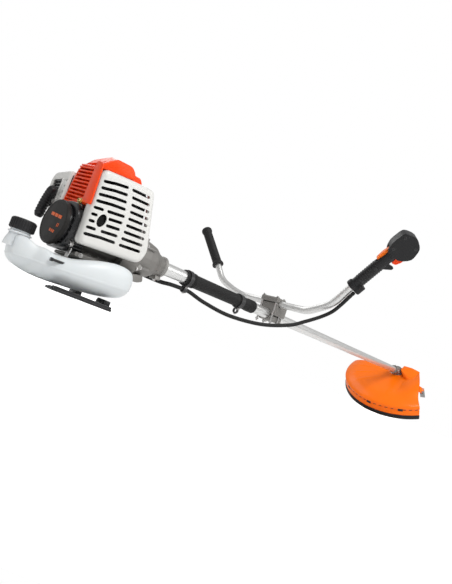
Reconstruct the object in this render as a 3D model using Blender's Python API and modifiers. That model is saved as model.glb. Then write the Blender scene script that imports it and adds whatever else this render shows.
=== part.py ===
"""A petrol string trimmer with a bicycle handlebar: engine, long tube, handlebar and line head.

Run with: blender --background --python part.py
World frame: metres, +Z up, +X forward along the tube, +Y to the operator's left, floor at z = 0,
origin in the middle of the tank stand's underside. Sizes below are in millimetres.
"""

import math

import bmesh
import bpy
import numpy as np
from mathutils import Matrix, Quaternion, Vector

MM = 0.001
GAP = 0.3  # clearance between neighbouring pieces

# Pose of the machine on the floor: it rests on the tank stand and on the guard's skirt.
TUBE_ORIGIN = (206.0, 0.0, 125.0)
PITCH = math.radians(3.85)

# Shaft
TUBE_RADIUS = 14.0
TUBE_WALL = 1.5
TUBE_START = -56.0
TUBE_END = 1425.0
DRIVE_RADIUS = 4.0

# Handlebar
BAR_RADIUS = 9.5
BAR_X = 366.0
BAR_Z = 35.0
ARM_BACK = -0.16
ARM_OUT = 0.86
ARM_START_Y = 138.0
ARM_START_X = 349.0
LEFT_ARM_END_Z = 190.0
RIGHT_ARM_END_Z = 170.0
CLAMP_LOOP_Z = -25.4
HANGER_EAR_Z = -25.2

# Head
HEAD_X = 1455.0
HEAD_TILT = math.radians(35.0)
GUARD_RADIUS = 233.0
GUARD_RIM_Z = -52.0
SKIRT_Z = -84.0
SKIRT_FOOT_Z = -97.0
GUARD_FIRST = -46.0
GUARD_LAST = 96.0
HANDLE_Z = 112.0
PINION_X = 1440.0
LINE_SPIN = math.radians(60.0)

X_AXIS = Vector((1, 0, 0))
Y_AXIS = Vector((0, 1, 0))
Z_AXIS = Vector((0, 0, 1))


# ---------------------------------------------------------------- scene and materials


def clear_scene():
    for obj in list(bpy.data.objects):
        bpy.data.objects.remove(obj, do_unlink=True)


def new_collection(name):
    collection = bpy.data.collections.new(name)
    bpy.context.scene.collection.children.link(collection)
    return collection


def material(name, color, roughness=0.5, metallic=0.0):
    mat = bpy.data.materials.new(name)
    mat.use_nodes = True
    shader = mat.node_tree.nodes["Principled BSDF"]
    shader.inputs["Base Color"].default_value = (*color, 1.0)
    shader.inputs["Roughness"].default_value = roughness
    shader.inputs["Metallic"].default_value = metallic
    return mat


clear_scene()
PARTS = new_collection("string_trimmer")
CUTTERS = new_collection("cutters")
MATERIALS = {
    "orange": material("orange", (0.95, 0.22, 0.02), 0.3),
    "red_orange": material("red_orange", (0.85, 0.11, 0.02), 0.3),
    "white": material("white", (0.82, 0.82, 0.78), 0.35),
    "black": material("black", (0.02, 0.02, 0.02), 0.45),
    "dark_grey": material("dark_grey", (0.05, 0.05, 0.055), 0.5),
    "rubber": material("rubber", (0.015, 0.015, 0.015), 0.8),
    "tank": material("tank", (0.8, 0.83, 0.84), 0.35),
    "alloy": material("alloy", (0.75, 0.76, 0.77), 0.3, 1.0),
    "cast": material("cast", (0.36, 0.35, 0.34), 0.55, 1.0),
    "steel": material("steel", (0.6, 0.6, 0.6), 0.25, 1.0),
    "foam": material("foam", (0.06, 0.06, 0.06), 0.95),
    "nylon": material("nylon", (0.9, 0.35, 0.05), 0.4),
}


def empty(name, at, rotation=(0, 0, 0), parent=None):
    obj = bpy.data.objects.new(name, None)
    obj.location = Vector(at) * MM
    obj.rotation_euler = rotation
    obj.parent = parent
    PARTS.objects.link(obj)
    return obj


def place(name, data, mat, parent, at, direction=Z_AXIS, spin=0.0):
    """Links a new object whose local Z axis points along direction."""
    obj = bpy.data.objects.new(name, data)
    turn = Z_AXIS.rotation_difference(Vector(direction).normalized()).to_matrix().to_4x4()
    obj.matrix_basis = Matrix.Translation(Vector(at) * MM) @ turn @ Matrix.Rotation(spin, 4, "Z")
    obj.parent = parent
    data.materials.append(MATERIALS[mat])
    PARTS.objects.link(obj)
    return obj


def smooth(obj, angle=35):
    obj.data.shade_smooth()
    obj.data.set_sharp_from_angle(angle=math.radians(angle))
    return obj


def mesh_from(bm, name):
    bmesh.ops.recalc_face_normals(bm, faces=bm.faces)
    mesh = bpy.data.meshes.new(name)
    bm.to_mesh(mesh)
    bm.free()
    return mesh


# ---------------------------------------------------------------- shapes


def block(name, size, at, mat, parent, bevel=0.0, direction=Z_AXIS, spin=0.0, segments=2):
    bm = bmesh.new()
    bmesh.ops.create_cube(bm, size=1.0)
    bmesh.ops.scale(bm, vec=Vector(size) * MM, verts=bm.verts)
    obj = place(name, mesh_from(bm, name), mat, parent, at, direction, spin)
    if bevel:
        rounding = obj.modifiers.new("rounding", "BEVEL")
        rounding.width = bevel * MM
        rounding.segments = segments
        smooth(obj)
    return obj


def rod(name, radius, start, end, mat, parent, sides=20, end_radius=None):
    """A solid cylinder or cone from start to end."""
    start, end = Vector(start), Vector(end)
    bm = bmesh.new()
    bmesh.ops.create_cone(
        bm,
        cap_ends=True,
        segments=sides,
        radius1=radius * MM,
        radius2=(radius if end_radius is None else end_radius) * MM,
        depth=(end - start).length * MM,
    )
    obj = place(name, mesh_from(bm, name), mat, parent, (start + end) / 2, end - start)
    return smooth(obj)


def turned(name, profile, mat, parent, at=(0, 0, 0), direction=X_AXIS, steps=24, ring=False):
    """A turned piece: profile holds (radius, height) from the top down its outer side.

    A ring's profile closes on itself; any other starts and ends on the axis.
    """
    count = len(profile)
    bm = bmesh.new()
    verts = [bm.verts.new((r * MM, 0, z * MM)) for r, z in profile]
    for i in range(count if ring else count - 1):
        bm.edges.new((verts[i], verts[(i + 1) % count]))
    mesh = bpy.data.meshes.new(name)
    bm.to_mesh(mesh)
    bm.free()
    obj = place(name, mesh, mat, parent, at, direction)
    screw = obj.modifiers.new("turn", "SCREW")
    screw.steps = steps
    screw.render_steps = steps
    screw.use_merge_vertices = True
    screw.merge_threshold = 0.00001
    screw.use_smooth_shade = True
    return obj


def tube_ring(name, outer, inner, start, end, mat, parent, at=(0, 0, 0), direction=X_AXIS, steps=24):
    profile = [(outer, end), (outer, start), (inner, start), (inner, end)]
    return turned(name, profile, mat, parent, at, direction, steps, ring=True)


def plate(name, outlines, thickness, at, mat, parent, direction=Z_AXIS, spin=0.0):
    """A flat piece of the given thickness, centred on at: the first outline is its edge, the rest holes."""
    curve = bpy.data.curves.new(name, "CURVE")
    curve.dimensions = "2D"
    curve.fill_mode = "BOTH"
    curve.extrude = thickness / 2 * MM
    for outline in outlines:
        spline = curve.splines.new("POLY")
        spline.points.add(len(outline) - 1)
        for point, (x, y) in zip(spline.points, outline):
            point.co = (x * MM, y * MM, 0, 1)
        spline.use_cyclic_u = True
    return as_mesh(place(name, curve, mat, parent, at, direction, spin))


def as_mesh(obj):
    """Turns a curve object into a mesh object with welded caps."""
    graph = bpy.context.evaluated_depsgraph_get()
    graph.update()
    mesh = bpy.data.meshes.new_from_object(obj.evaluated_get(graph))
    bm = bmesh.new()
    bm.from_mesh(mesh)
    bmesh.ops.remove_doubles(bm, verts=bm.verts, dist=0.000001)
    bmesh.ops.recalc_face_normals(bm, faces=bm.faces)
    bm.to_mesh(mesh)
    bm.free()
    name, basis, parent = obj.name, obj.matrix_basis.copy(), obj.parent
    bpy.data.objects.remove(obj)
    made = bpy.data.objects.new(name, mesh)
    made.matrix_basis = basis
    made.parent = parent
    PARTS.objects.link(made)
    return made


def smooth_route(points, count):
    """Evenly spaced points on a Catmull-Rom curve through the route's points."""
    knots = [Vector(p) for p in points]
    knots = [2 * knots[0] - knots[1], *knots, 2 * knots[-1] - knots[-2]]
    fine = []
    for a, b, c, d in zip(knots, knots[1:], knots[2:], knots[3:]):
        for step in range(24):
            t = step / 24
            fine.append(
                0.5
                * (2 * b + (c - a) * t + (2 * a - 5 * b + 4 * c - d) * t**2 + (3 * b - a - 3 * c + d) * t**3)
            )
    fine.append(knots[-2])
    lengths = np.cumsum([0.0] + [(q - p).length for p, q in zip(fine, fine[1:])])
    wanted = np.linspace(0, lengths[-1], count)
    columns = [np.interp(wanted, lengths, [p[axis] for p in fine]) for axis in range(3)]
    return [Vector(p) for p in zip(*columns)]


def pipe(name, points, radius, mat, parent, resolution=2, radii=None):
    curve = bpy.data.curves.new(name, "CURVE")
    curve.dimensions = "3D"
    curve.bevel_depth = radius * MM
    curve.bevel_resolution = resolution
    curve.use_fill_caps = True
    spline = curve.splines.new("POLY")
    spline.points.add(len(points) - 1)
    for i, (point, co) in enumerate(zip(spline.points, points)):
        point.co = (*(Vector(co) * MM), 1)
        point.radius = radii[i] if radii else 1.0
    obj = place(name, curve, mat, parent, (0, 0, 0))
    for spline in curve.splines:
        spline.use_smooth = True
    return obj


def cutter(obj):
    """Keeps obj out of the model: it only shapes another piece."""
    PARTS.objects.unlink(obj)
    CUTTERS.objects.link(obj)
    obj.hide_render = True
    obj.display_type = "WIRE"
    obj.name = "cut_" + obj.name
    return obj


def boolean(obj, other, operation):
    step = obj.modifiers.new(operation.lower(), "BOOLEAN")
    step.operation = operation
    step.solver = "EXACT"
    step.object = cutter(other) if other.name in PARTS.objects else other
    return obj


def cut(obj, *others):
    for other in others:
        boolean(obj, other, "DIFFERENCE")
    return obj


def weld(obj, *others):
    for other in others:
        boolean(obj, other, "UNION")
    return obj


def arc(radius, start, end, count, center=(0.0, 0.0), squash=1.0):
    """Points on an arc, angles in degrees."""
    angles = np.radians(np.linspace(start, end, count))
    return [(center[0] + radius * math.cos(a), center[1] + squash * radius * math.sin(a)) for a in angles]


def circle(radius, count=20, center=(0.0, 0.0), squash=1.0):
    return arc(radius, 0, 360 * (count - 1) / count, count, center, squash)


def rounded(corners, radius, count=3):
    """The outline through corners with each corner replaced by a short curve."""
    outline = []
    total = len(corners)
    for i, corner in enumerate(corners):
        here = Vector(corner)
        before = (Vector(corners[i - 1]) - here).normalized() * radius
        after = (Vector(corners[(i + 1) % total]) - here).normalized() * radius
        for step in range(count + 1):
            t = step / count
            outline.append(here + before * (1 - t) ** 2 + after * t**2)
    return [tuple(p) for p in outline]


def side_plate(name, outline, low_y, high_y, mat, parent):
    """A plate whose outline holds (x, z) points and which spans low_y to high_y."""
    flipped = [(x, -z) for x, z in outline]
    turn = Matrix.Rotation(-math.pi / 2, 4, "X")
    obj = plate(name, [flipped], high_y - low_y, (0, 0, 0), mat, parent)
    obj.matrix_basis = Matrix.Translation(Vector((0, (low_y + high_y) / 2, 0)) * MM) @ turn
    return obj


def end_plate(name, outlines, low_x, high_x, mat, parent):
    """A plate whose outlines hold (y, z) points and which spans low_x to high_x."""
    obj = plate(name, outlines, high_x - low_x, (0, 0, 0), mat, parent)
    turn = Matrix(((0, 0, 1, 0), (1, 0, 0, 0), (0, 1, 0, 0), (0, 0, 0, 1)))
    obj.matrix_basis = Matrix.Translation(Vector(((low_x + high_x) / 2, 0, 0)) * MM) @ turn
    return obj


def shrunk(outline, margin):
    """The outline moved inwards by about margin, towards its middle."""
    points = np.array(outline)
    middle = (points.max(0) + points.min(0)) / 2
    half = (points.max(0) - points.min(0)) / 2
    return [tuple(p) for p in middle + (points - middle) * (1 - margin / half)]


# ---------------------------------------------------------------- engine

CRANKCASE_REAR = -222.0
CRANKCASE_FRONT = -152.0
CYLINDER_X = -187.0
BEARING_RADIUS = 13.0
COVER_WALL = 2.5
COVER_FACE_Y = -76.0
COVER_INNER_Y = -53.5
HOOD_LEFT_Y = 50.0
CARB_Y = 60.0
LEVER_Z = 85.2
CHOKE_PIVOT = (-205.0, 140.3, 62.0)
FAN_HOUSING_RADIUS = 52.0


def crankcase(tube):
    rear, front = CRANKCASE_REAR, CRANKCASE_FRONT
    bore = BEARING_RADIUS + GAP
    profile = [(36, front), (36, rear), (bore, rear), (bore, rear + 5), (30, rear + 5), (30, front - 5)]
    profile += [(bore, front - 5), (bore, front)]
    case = turned("crankcase", profile, "cast", tube, ring=True, steps=24)
    flange = block("case_flange", (64, 56, 10), (CYLINDER_X, 0, 38), "cast", tube)
    foot = block("case_foot", (60, 60, 9), (CYLINDER_X, 0, -37.8), "cast", tube)
    bore_up = rod("case_bore", 17.5, (CYLINDER_X, 0, 15), (CYLINDER_X, 0, 60), "cast", tube, 24)
    inside = rod("case_inside", 30, (rear + 5, 0, 0), (front - 5, 0, 0), "cast", tube, 24)
    weld(case, flange, foot)
    cut(case, bore_up, inside)


def crank(tube):
    rear = [(0, -196), (27, -196), (27, -204), (9, -204), (6, -212), (6, -232), (17, -232), (17, -240), (0, -240)]
    turned("crank_half_rear", rear, "steel", tube)
    front = [(0, -88), (5, -88), (5, -92), (12, -92), (12, -109), (6, -109), (6, -162), (9, -170), (27, -170)]
    front += [(27, -178), (0, -178)]
    turned("crank_half_front", front, "steel", tube)


def piston_set(tube):
    """The piston at its highest point, with the rod's lower eye around where the crank pin runs."""
    ends = arc(8, -30, 210, 9, (0, 67)) + arc(11, 150, 390, 9, (0, 15))
    holes = [circle(4.3, 12, (0, 67)), circle(6.5, 12, (0, 15))]
    end_plate("connecting_rod", [ends, *holes], CYLINDER_X - 4, CYLINDER_X + 4, "steel", tube)
    crown = [(0, 84), (16.6, 84), (16.6, 56), (14, 56), (14, 80), (0, 80)]
    piston = turned("piston", crown, "alloy", tube, (CYLINDER_X, 0, 0), Z_AXIS, 20)
    pin_line = [(CYLINDER_X - 15.5, 0, 67), (CYLINDER_X + 15.5, 0, 67)]
    weld(piston, rod("wrist_pin", 4.0, *pin_line, "steel", tube, 12))


def cylinder(tube):
    fins, pitch, thick = 5, 11.0, 3.0
    profile = []
    for k in range(fins):
        top = 100 - k * pitch
        profile += [(33, top), (33, top - thick), (21, top - thick), (21, top - pitch)]
    profile += [(21, 43 + GAP), (17, 43 + GAP), (17, 90), (5.3, 90), (5.3, 100)]
    turned("cylinder", profile, "cast", tube, (CYLINDER_X, 0, 0), Z_AXIS, 16, ring=True)
    plug = [(0, 124), (4, 124), (4, 109), (8, 108), (8, 100.5), (5, 100.5), (5, 88), (0, 88)]
    turned("spark_plug", plug, "steel", tube, (CYLINDER_X, 0, 0), Z_AXIS, 12)


def flywheel(tube):
    disc = [(0, -131), (12, -131), (12, -144), (44, -144), (44, -148), (0, -148)]
    fan = turned("flywheel_fan", disc, "cast", tube)
    cut(fan, rod("fan_bore", 6 + GAP, (-160, 0, 0), (-120, 0, 0), "cast", tube, 24))
    bm = bmesh.new()
    for k in range(8):
        made = bmesh.ops.create_cube(bm, size=1.0)["verts"]
        bmesh.ops.scale(bm, vec=Vector((12, 27, 2.5)) * MM, verts=made)
        bmesh.ops.translate(bm, vec=Vector((-139, 28.5, 0)) * MM, verts=made)
        turn = Matrix.Rotation(math.radians(45 * k), 3, "X")
        bmesh.ops.rotate(bm, cent=(0, 0, 0), matrix=turn, verts=made)
    weld(fan, place("fan_blades", mesh_from(bm, "fan_blades"), "cast", tube, (0, 0, 0)))
    outer, inner = FAN_HOUSING_RADIUS, FAN_HOUSING_RADIUS - 3
    shroud = [(outer, -114), (outer, -150), (inner, -150), (inner, -117), (33, -117), (33, -114)]
    turned("fan_housing", shroud, "cast", tube, ring=True, steps=28)


def clutch(tube):
    outer = [(20, -29), (20.5, -40), (24, -52), (33, -66), (37, -85), (38, -113)]
    inner = [(31, -113), (31, -74), (BEARING_RADIUS + GAP, -74), (BEARING_RADIUS + GAP, -62), (10, -62)]
    inner += [(10, -57), (TUBE_RADIUS + GAP, -57), (TUBE_RADIUS + GAP, -29)]
    turned("clutch_housing", outer + inner, "cast", tube, ring=True)
    for name, side in (("clutch_shoe_upper", 1), ("clutch_shoe_lower", -1)):
        outline = arc(27, 12, 168, 12) + arc(12.6, 168, 12, 8)
        outline = [(y, side * z) for y, z in outline]
        end_plate(name, [outline], -107, -93, "steel", tube)
    drum = [(0, -60), (6, -60), (6, -78), (29.5, -78), (29.5, -108), (27.8, -108), (27.8, -81), (0, -81)]
    turned("clutch_drum", drum, "steel", tube)
    tube_ring("drum_bearing", BEARING_RADIUS, 6 + GAP, -73.5, -64, "steel", tube, steps=20)


def side_cover(tube):
    """The slotted cover over the muffler: a shallow tray, open on its inner side."""
    outline = rounded([(-251, 101), (-246, -30), (-128, -20), (-121, -2), (-150, 112)], 9)
    shell = side_plate("side_cover", outline, COVER_FACE_Y, COVER_INNER_Y, "white", tube)
    edge = shell.modifiers.new("rounding", "BEVEL")
    edge.width = 6 * MM
    edge.segments = 2
    edge.limit_method = "ANGLE"
    edge.angle_limit = math.radians(60)
    hollow = side_plate("cover_hollow", shrunk(outline, 3.0), COVER_FACE_Y + COVER_WALL, -30, "white", tube)
    cut(shell, hollow)
    bm = bmesh.new()
    for row in range(9):
        z = 88 - 11.5 * row
        for x in (-211 - 1.0 * row, -165 + 1.6 * row):
            made = bmesh.ops.create_cube(bm, size=1.0)["verts"]
            bmesh.ops.scale(bm, vec=Vector((34, 12, 4.5)) * MM, verts=made)
            bmesh.ops.translate(bm, vec=Vector((x, COVER_FACE_Y, z)) * MM, verts=made)
    cut(shell, place("cover_slots", mesh_from(bm, "cover_slots"), "white", tube, (0, 0, 0)))


def cylinder_cover(tube):
    """The hood over the cylinder, open below and on the muffler's side, with a louvred rear."""
    outline = rounded([(-249, 46), (-243, 112), (-224, 141), (-160, 141), (-144, 126), (-144, 58)], 7)
    hood = side_plate("cylinder_cover", outline, COVER_INNER_Y + GAP, HOOD_LEFT_Y, "red_orange", tube)
    inside = rounded([(-246, 20), (-240, 110), (-222, 138), (-162, 138), (-147, 124), (-147, 20)], 7)
    hollow = side_plate("hood_hollow", inside, COVER_INNER_Y - 10, HOOD_LEFT_Y - 3, "red_orange", tube)
    intake_way = block("hood_intake_way", (44, 12, 56), (CYLINDER_X, HOOD_LEFT_Y, 66), "red_orange", tube)
    cut(hood, hollow, intake_way)
    bm = bmesh.new()
    for row in range(8):
        made = bmesh.ops.create_cube(bm, size=1.0)["verts"]
        bmesh.ops.scale(bm, vec=Vector((16, 80, 3.0)) * MM, verts=made)
        bmesh.ops.translate(bm, vec=Vector((-247, -2, 58 + 7.0 * row)) * MM, verts=made)
    cut(hood, place("hood_slots", mesh_from(bm, "hood_slots"), "red_orange", tube, (0, 0, 0)))


def intake(tube):
    """Air filter box, carburettor and their small controls, on the left of the cylinder."""
    outline = rounded([(52, 28), (136, 28), (138, 92), (126, 104), (52, 104)], 8)
    box = end_plate("air_filter_housing", [outline], -251, -176, "white", tube)
    hollow = end_plate("filter_hollow", [shrunk(outline, 2.5)], -248.5, -160, "white", tube)
    window = block("filter_window", (20, 42, 42), (-251, 97, 66), "white", tube)
    carb_way = block("filter_carb_way", (48, 30, 76), (CYLINDER_X, 60, 62), "white", tube)
    cut(box, hollow, window, carb_way)
    grille = block("air_filter_grille", (4, 41.4, 41.4), (-249.3, 97, 66), "black", tube)
    bm = bmesh.new()
    for row in range(5):
        made = bmesh.ops.create_cube(bm, size=1.0)["verts"]
        bmesh.ops.scale(bm, vec=Vector((20, 34, 3.5)) * MM, verts=made)
        bmesh.ops.translate(bm, vec=Vector((-250, 97, 51 + 7.5 * row)) * MM, verts=made)
    cut(grille, place("grille_slots", mesh_from(bm, "grille_slots"), "black", tube, (0, 0, 0)))
    block("air_filter_foam", (22, 66, 58), (-233, 95, 66), "foam", tube)
    body = block("carburettor", (34, 26, 34), (CYLINDER_X, CARB_Y, 66), "alloy", tube, 2, segments=1)
    throat = rod("carb_throat", 11, (CYLINDER_X, 34, 66), (CYLINDER_X, 80, 66), "alloy", tube, 16)
    bulb_seat = rod("bulb_seat", 9.5, (CYLINDER_X, CARB_Y, 40), (CYLINDER_X, CARB_Y, 53), "alloy", tube, 16)
    cut(weld(body, throat), bulb_seat)
    lever = rounded([(-5, -5), (24, -5), (24, 5), (-5, 5)], 4)
    plate("carburettor_lever", [lever], 2.4, (CYLINDER_X, CARB_Y, LEVER_Z), "steel", tube, spin=math.radians(90))
    bulb = [(0, 48.6), (9, 48.6), (9, 44), (8, 39), (4, 36), (0, 36)]
    turned("primer_bulb", bulb, "rubber", tube, (CYLINDER_X, CARB_Y, 0), Z_AXIS, 16)
    choke = rounded([(-5, -5), (26, -5), (26, 5), (-5, 5)], 4)
    plate("choke_lever", [choke], 3.4, CHOKE_PIVOT, "black", tube, Y_AXIS)


def exhaust(tube):
    box = block("muffler", (68, 33, 66), (-187, -53.5, 63), "cast", tube, 5, segments=1)
    elbow = rod("muffler_elbow", 8, (-212, -62, 42), (-227, -62, 22), "cast", tube, 14)
    outlet = rod("muffler_outlet", 7, (-227, -60, 22), (-227, -72, 22), "cast", tube, 14)
    weld(box, elbow, outlet)


STARTER_Y_RADIUS = 57.0
STARTER_Z_RADIUS = 39.5
STARTER_MIDDLE = (-1.0, -2.0)
PULLEY_X = -260.0
PULLEY_GROOVE = 20.0
GRIP = Vector((-263.0, 87.0, 36.0))
ROPE_ANGLE = math.radians(9.0)


def starter(tube):
    corners = [(-38, 42), (36, 42), (60, 22), (62, -18), (40, -42), (-40, -42), (-52, -20), (-52, 24)]
    outline = rounded(corners, 7, 2)
    housing = end_plate("starter_housing", [outline], -251, -226, "black", tube)
    hollow = end_plate("starter_hollow", [shrunk(outline, 3)], -248, -200, "black", tube)
    post = rod("starter_post", 4, (-266, 0, 0), (-249, 0, 0), "black", tube, 16)
    weld(cut(housing, hollow), post)
    oval = circle(STARTER_Y_RADIUS, 28, STARTER_MIDDLE, STARTER_Z_RADIUS / STARTER_Y_RADIUS)
    cover = end_plate("starter_cover", [oval], -269, -251.3, "dark_grey", tube)
    edge = cover.modifiers.new("rounding", "BEVEL")
    edge.width = 2 * MM
    edge.segments = 1
    edge.limit_method = "ANGLE"
    edge.angle_limit = math.radians(60)
    inner = end_plate("cover_inner", [shrunk(oval, 3)], -266.5, -240, "dark_grey", tube)
    pull = Vector((0, math.cos(ROPE_ANGLE), math.sin(ROPE_ANGLE)))
    rope_end = Vector((PULLEY_X, GRIP.y, GRIP.z))
    hole = rod("rope_hole", 3, rope_end - pull * 60, rope_end - pull * 5, "dark_grey", tube, 12)
    cut(cover, inner, hole)
    groove = [(26, 4), (26, 2.8), (PULLEY_GROOVE, 2.2), (PULLEY_GROOVE, -2.2), (26, -2.8), (26, -4)]
    groove += [(4.3, -4), (4.3, 4)]
    turned("starter_pulley", groove, "black", tube, (PULLEY_X, 0, 0), X_AXIS, ring=True)
    pipe("starter_rope", [rope_end - pull * 130, rope_end - pull * 10.2], 1.5, "rubber", tube)
    along = Vector((0, -0.40, 0.916))
    bend = Vector((0, 0.916, 0.40))
    steps = [-1, -0.8, -0.4, 0, 0.4, 0.8, 1]
    spine = [GRIP + along * 32 * s - bend * 6 * s * s for s in steps]
    pipe("starter_grip", spine, 10, "black", tube, 2, [0.6, 0.95, 1, 1.0, 1, 0.95, 0.6])


# ---------------------------------------------------------------- tank and stand

TANK_SECTIONS = [
    # x, half width, shoulder top, shoulder bottom, middle top, saddle top, middle bottom
    (-325, 18, -45, -80, -44, -44, -82),
    (-308, 28, -42, -90, -41, -41, -92),
    (-284, 42, -48, -98, -50, -50, -99),
    (-252, 64, -54, -100, -58, -57, -101),
    (-216, 78, -36, -100, -58, -55, -101),
    (-172, 82, -26, -98, -60, -54, -99),
    (-136, 73, -31, -93, -64, -55, -95),
    (-124, 52, -46, -84, -66, -60, -88),
]


CAP_X = -308.0


def fuel_tank(tube):
    """A loft along X through rounded sections, smoothed once, with a filler hole in its rear neck.

    Its shoulders rise on both sides of the engine's base.
    """
    bm = bmesh.new()
    rings = []
    for x, half, side_top, side_bottom, top, saddle, bottom in TANK_SECTIONS:
        points = [(0, top), (half * 0.5, saddle), (half * 0.76, side_top), (half, side_top - 12)]
        points += [(half, side_bottom + 14), (half * 0.62, side_bottom), (0, bottom)]
        points += [(-y, z) for y, z in points[-2:0:-1]]
        rings.append([bm.verts.new(Vector((x, y, z)) * MM) for y, z in points])
    for near, far in zip(rings, rings[1:]):
        for i in range(len(near)):
            j = (i + 1) % len(near)
            bm.faces.new((near[i], near[j], far[j], far[i]))
    for ring in (rings[0], rings[-1]):
        bm.faces.new(ring)
    tank = smooth(place("fuel_tank", mesh_from(bm, "fuel_tank"), "tank", tube, (0, 0, 0)), 60)
    soft = tank.modifiers.new("soft", "SUBSURF")
    soft.levels = 1
    soft.render_levels = 1
    neck = rod("tank_neck", 15, (CAP_X, 0, -60), (CAP_X, 0, -36), "tank", tube, 20)
    well = rod("tank_well", 12, (CAP_X, 0, -80), (CAP_X, 0, -30), "tank", tube, 20)
    cut(weld(tank, neck), well)
    cap = [(0, -18), (17.5, -18), (19, -20), (19, -37), (15.5, -37), (15.5, -35.4), (0, -35.4)]
    turned("fuel_cap", cap, "black", tube, (CAP_X, 0, 0), Z_AXIS, 24)


def base_and_stand(row, tube):
    block("engine_base", (83, 70, 6), (-194.5, 0, -45.8), "cast", tube, 1.5, segments=1)
    outline = rounded([(-60, -84), (60, -84), (60, 84), (6, 84), (-46, -44), (-60, -52)], 8)
    near_window = rounded([(-40, -60), (36, -60), (36, -10), (-19, -10)], 6)
    far_window = rounded([(-10, 8), (36, 8), (36, 60), (11, 60)], 6)
    stand = plate("tank_stand", [outline, near_window, far_window], 4, (0, 0, 2), "black", row)
    for side in (-1, 1):
        weld(stand, block("stand_leg", (12, 30, 14), (52, side * 56, 9), "black", row))


# ---------------------------------------------------------------- shaft and handlebar


def shaft(tube):
    tube_ring("outer_tube", TUBE_RADIUS, TUBE_RADIUS - TUBE_WALL, TUBE_START, TUBE_END, "alloy", tube)
    rod("drive_shaft", DRIVE_RADIUS, (-59.5, 0, 0), (PINION_X - GAP, 0, 0), "steel", tube, 12)
    bush = TUBE_RADIUS - TUBE_WALL - GAP
    tube_ring("shaft_bush", bush, DRIVE_RADIUS + GAP, 700, 730, "black", tube, steps=16)
    sleeve = [(16.5, 287), (16.5, 262), (15.8, 261), (15.8, 64), (17.2, 62), (17.2, 32), (14.3, 32), (14.3, 287)]
    turned("tube_sleeve", sleeve, "rubber", tube, ring=True)
    band = tube_ring("cable_clamp", 19.4, 17.5, 40, 50, "rubber", tube, steps=20)
    loop = tube_ring("clamp_loop", 7.6, 5.6, 40, 50, "rubber", tube, (0, 0, CLAMP_LOOP_Z), steps=16)
    weld(band, loop)
    hanger = tube_ring("harness_clamp", 19.0, 16.1, 222, 236, "rubber", tube, steps=20)
    ear = tube_ring("hanger_ear", 8, 5, 226, 232, "rubber", tube, (0, 0, HANGER_EAR_Z), steps=14)
    weld(hanger, ear)


def bar_route(side, end_z):
    bend = [(BAR_X, side * 84, BAR_Z), (BAR_X - 5, side * 118, BAR_Z + 1), (BAR_X - 18, side * 154, 46)]
    return bend + [arm_point(side, z) for z in (66, 105, end_z)]


def arm_direction(side):
    return Vector((ARM_BACK, side * ARM_OUT, 1)).normalized()


def arm_point(side, z):
    return Vector((ARM_START_X + ARM_BACK * z, side * (ARM_START_Y + ARM_OUT * z), z))


def handlebar(tube):
    right = bar_route(-1, RIGHT_ARM_END_Z)[::-1]
    middle = [(BAR_X, y, BAR_Z) for y in (-42, 0, 42)]
    route = smooth_route(right + middle + bar_route(1, LEFT_ARM_END_Z), 44)
    pipe("handlebar", route, BAR_RADIUS, "alloy", tube, 3)


def bracket(tube):
    """Three castings that clamp the handlebar on top of the tube."""
    x, z = 376, BAR_Z
    body = block("bracket_body", (52, 60, z - GAP * 2), (x, 0, z / 2), "cast", tube, 2, segments=1)
    cap = block("bracket_top_cap", (44, 60, 15), (BAR_X, 0, z + GAP + 7.5), "cast", tube, 3, segments=1)
    under = block("bracket_tube_cap", (52, 46, 17), (x, 0, -GAP - 8.5), "cast", tube, 3, segments=1)
    bar_bore = rod("bar_bore", BAR_RADIUS + GAP, (BAR_X, -50, z), (BAR_X, 50, z), "cast", tube, 24)
    tube_bore = rod("tube_bore", TUBE_RADIUS + GAP, (x - 50, 0, 0), (x + 50, 0, 0), "cast", tube, 24)
    cut(body, bar_bore, tube_bore)
    cut(cap, bar_bore)
    cut(under, tube_bore)


def left_grip(tube):
    length = 146
    profile = [(0, length), (11, length), (16, length - 5), (17, length - 12), (14.5, length - 20)]
    profile += [(14.5, 12), (18, 9), (18, 0), (BAR_RADIUS + GAP, 0), (BAR_RADIUS + GAP, length - 10), (0, length - 10)]
    turned("left_grip", profile, "rubber", tube, arm_point(1, 105), arm_direction(1), 20)


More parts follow.
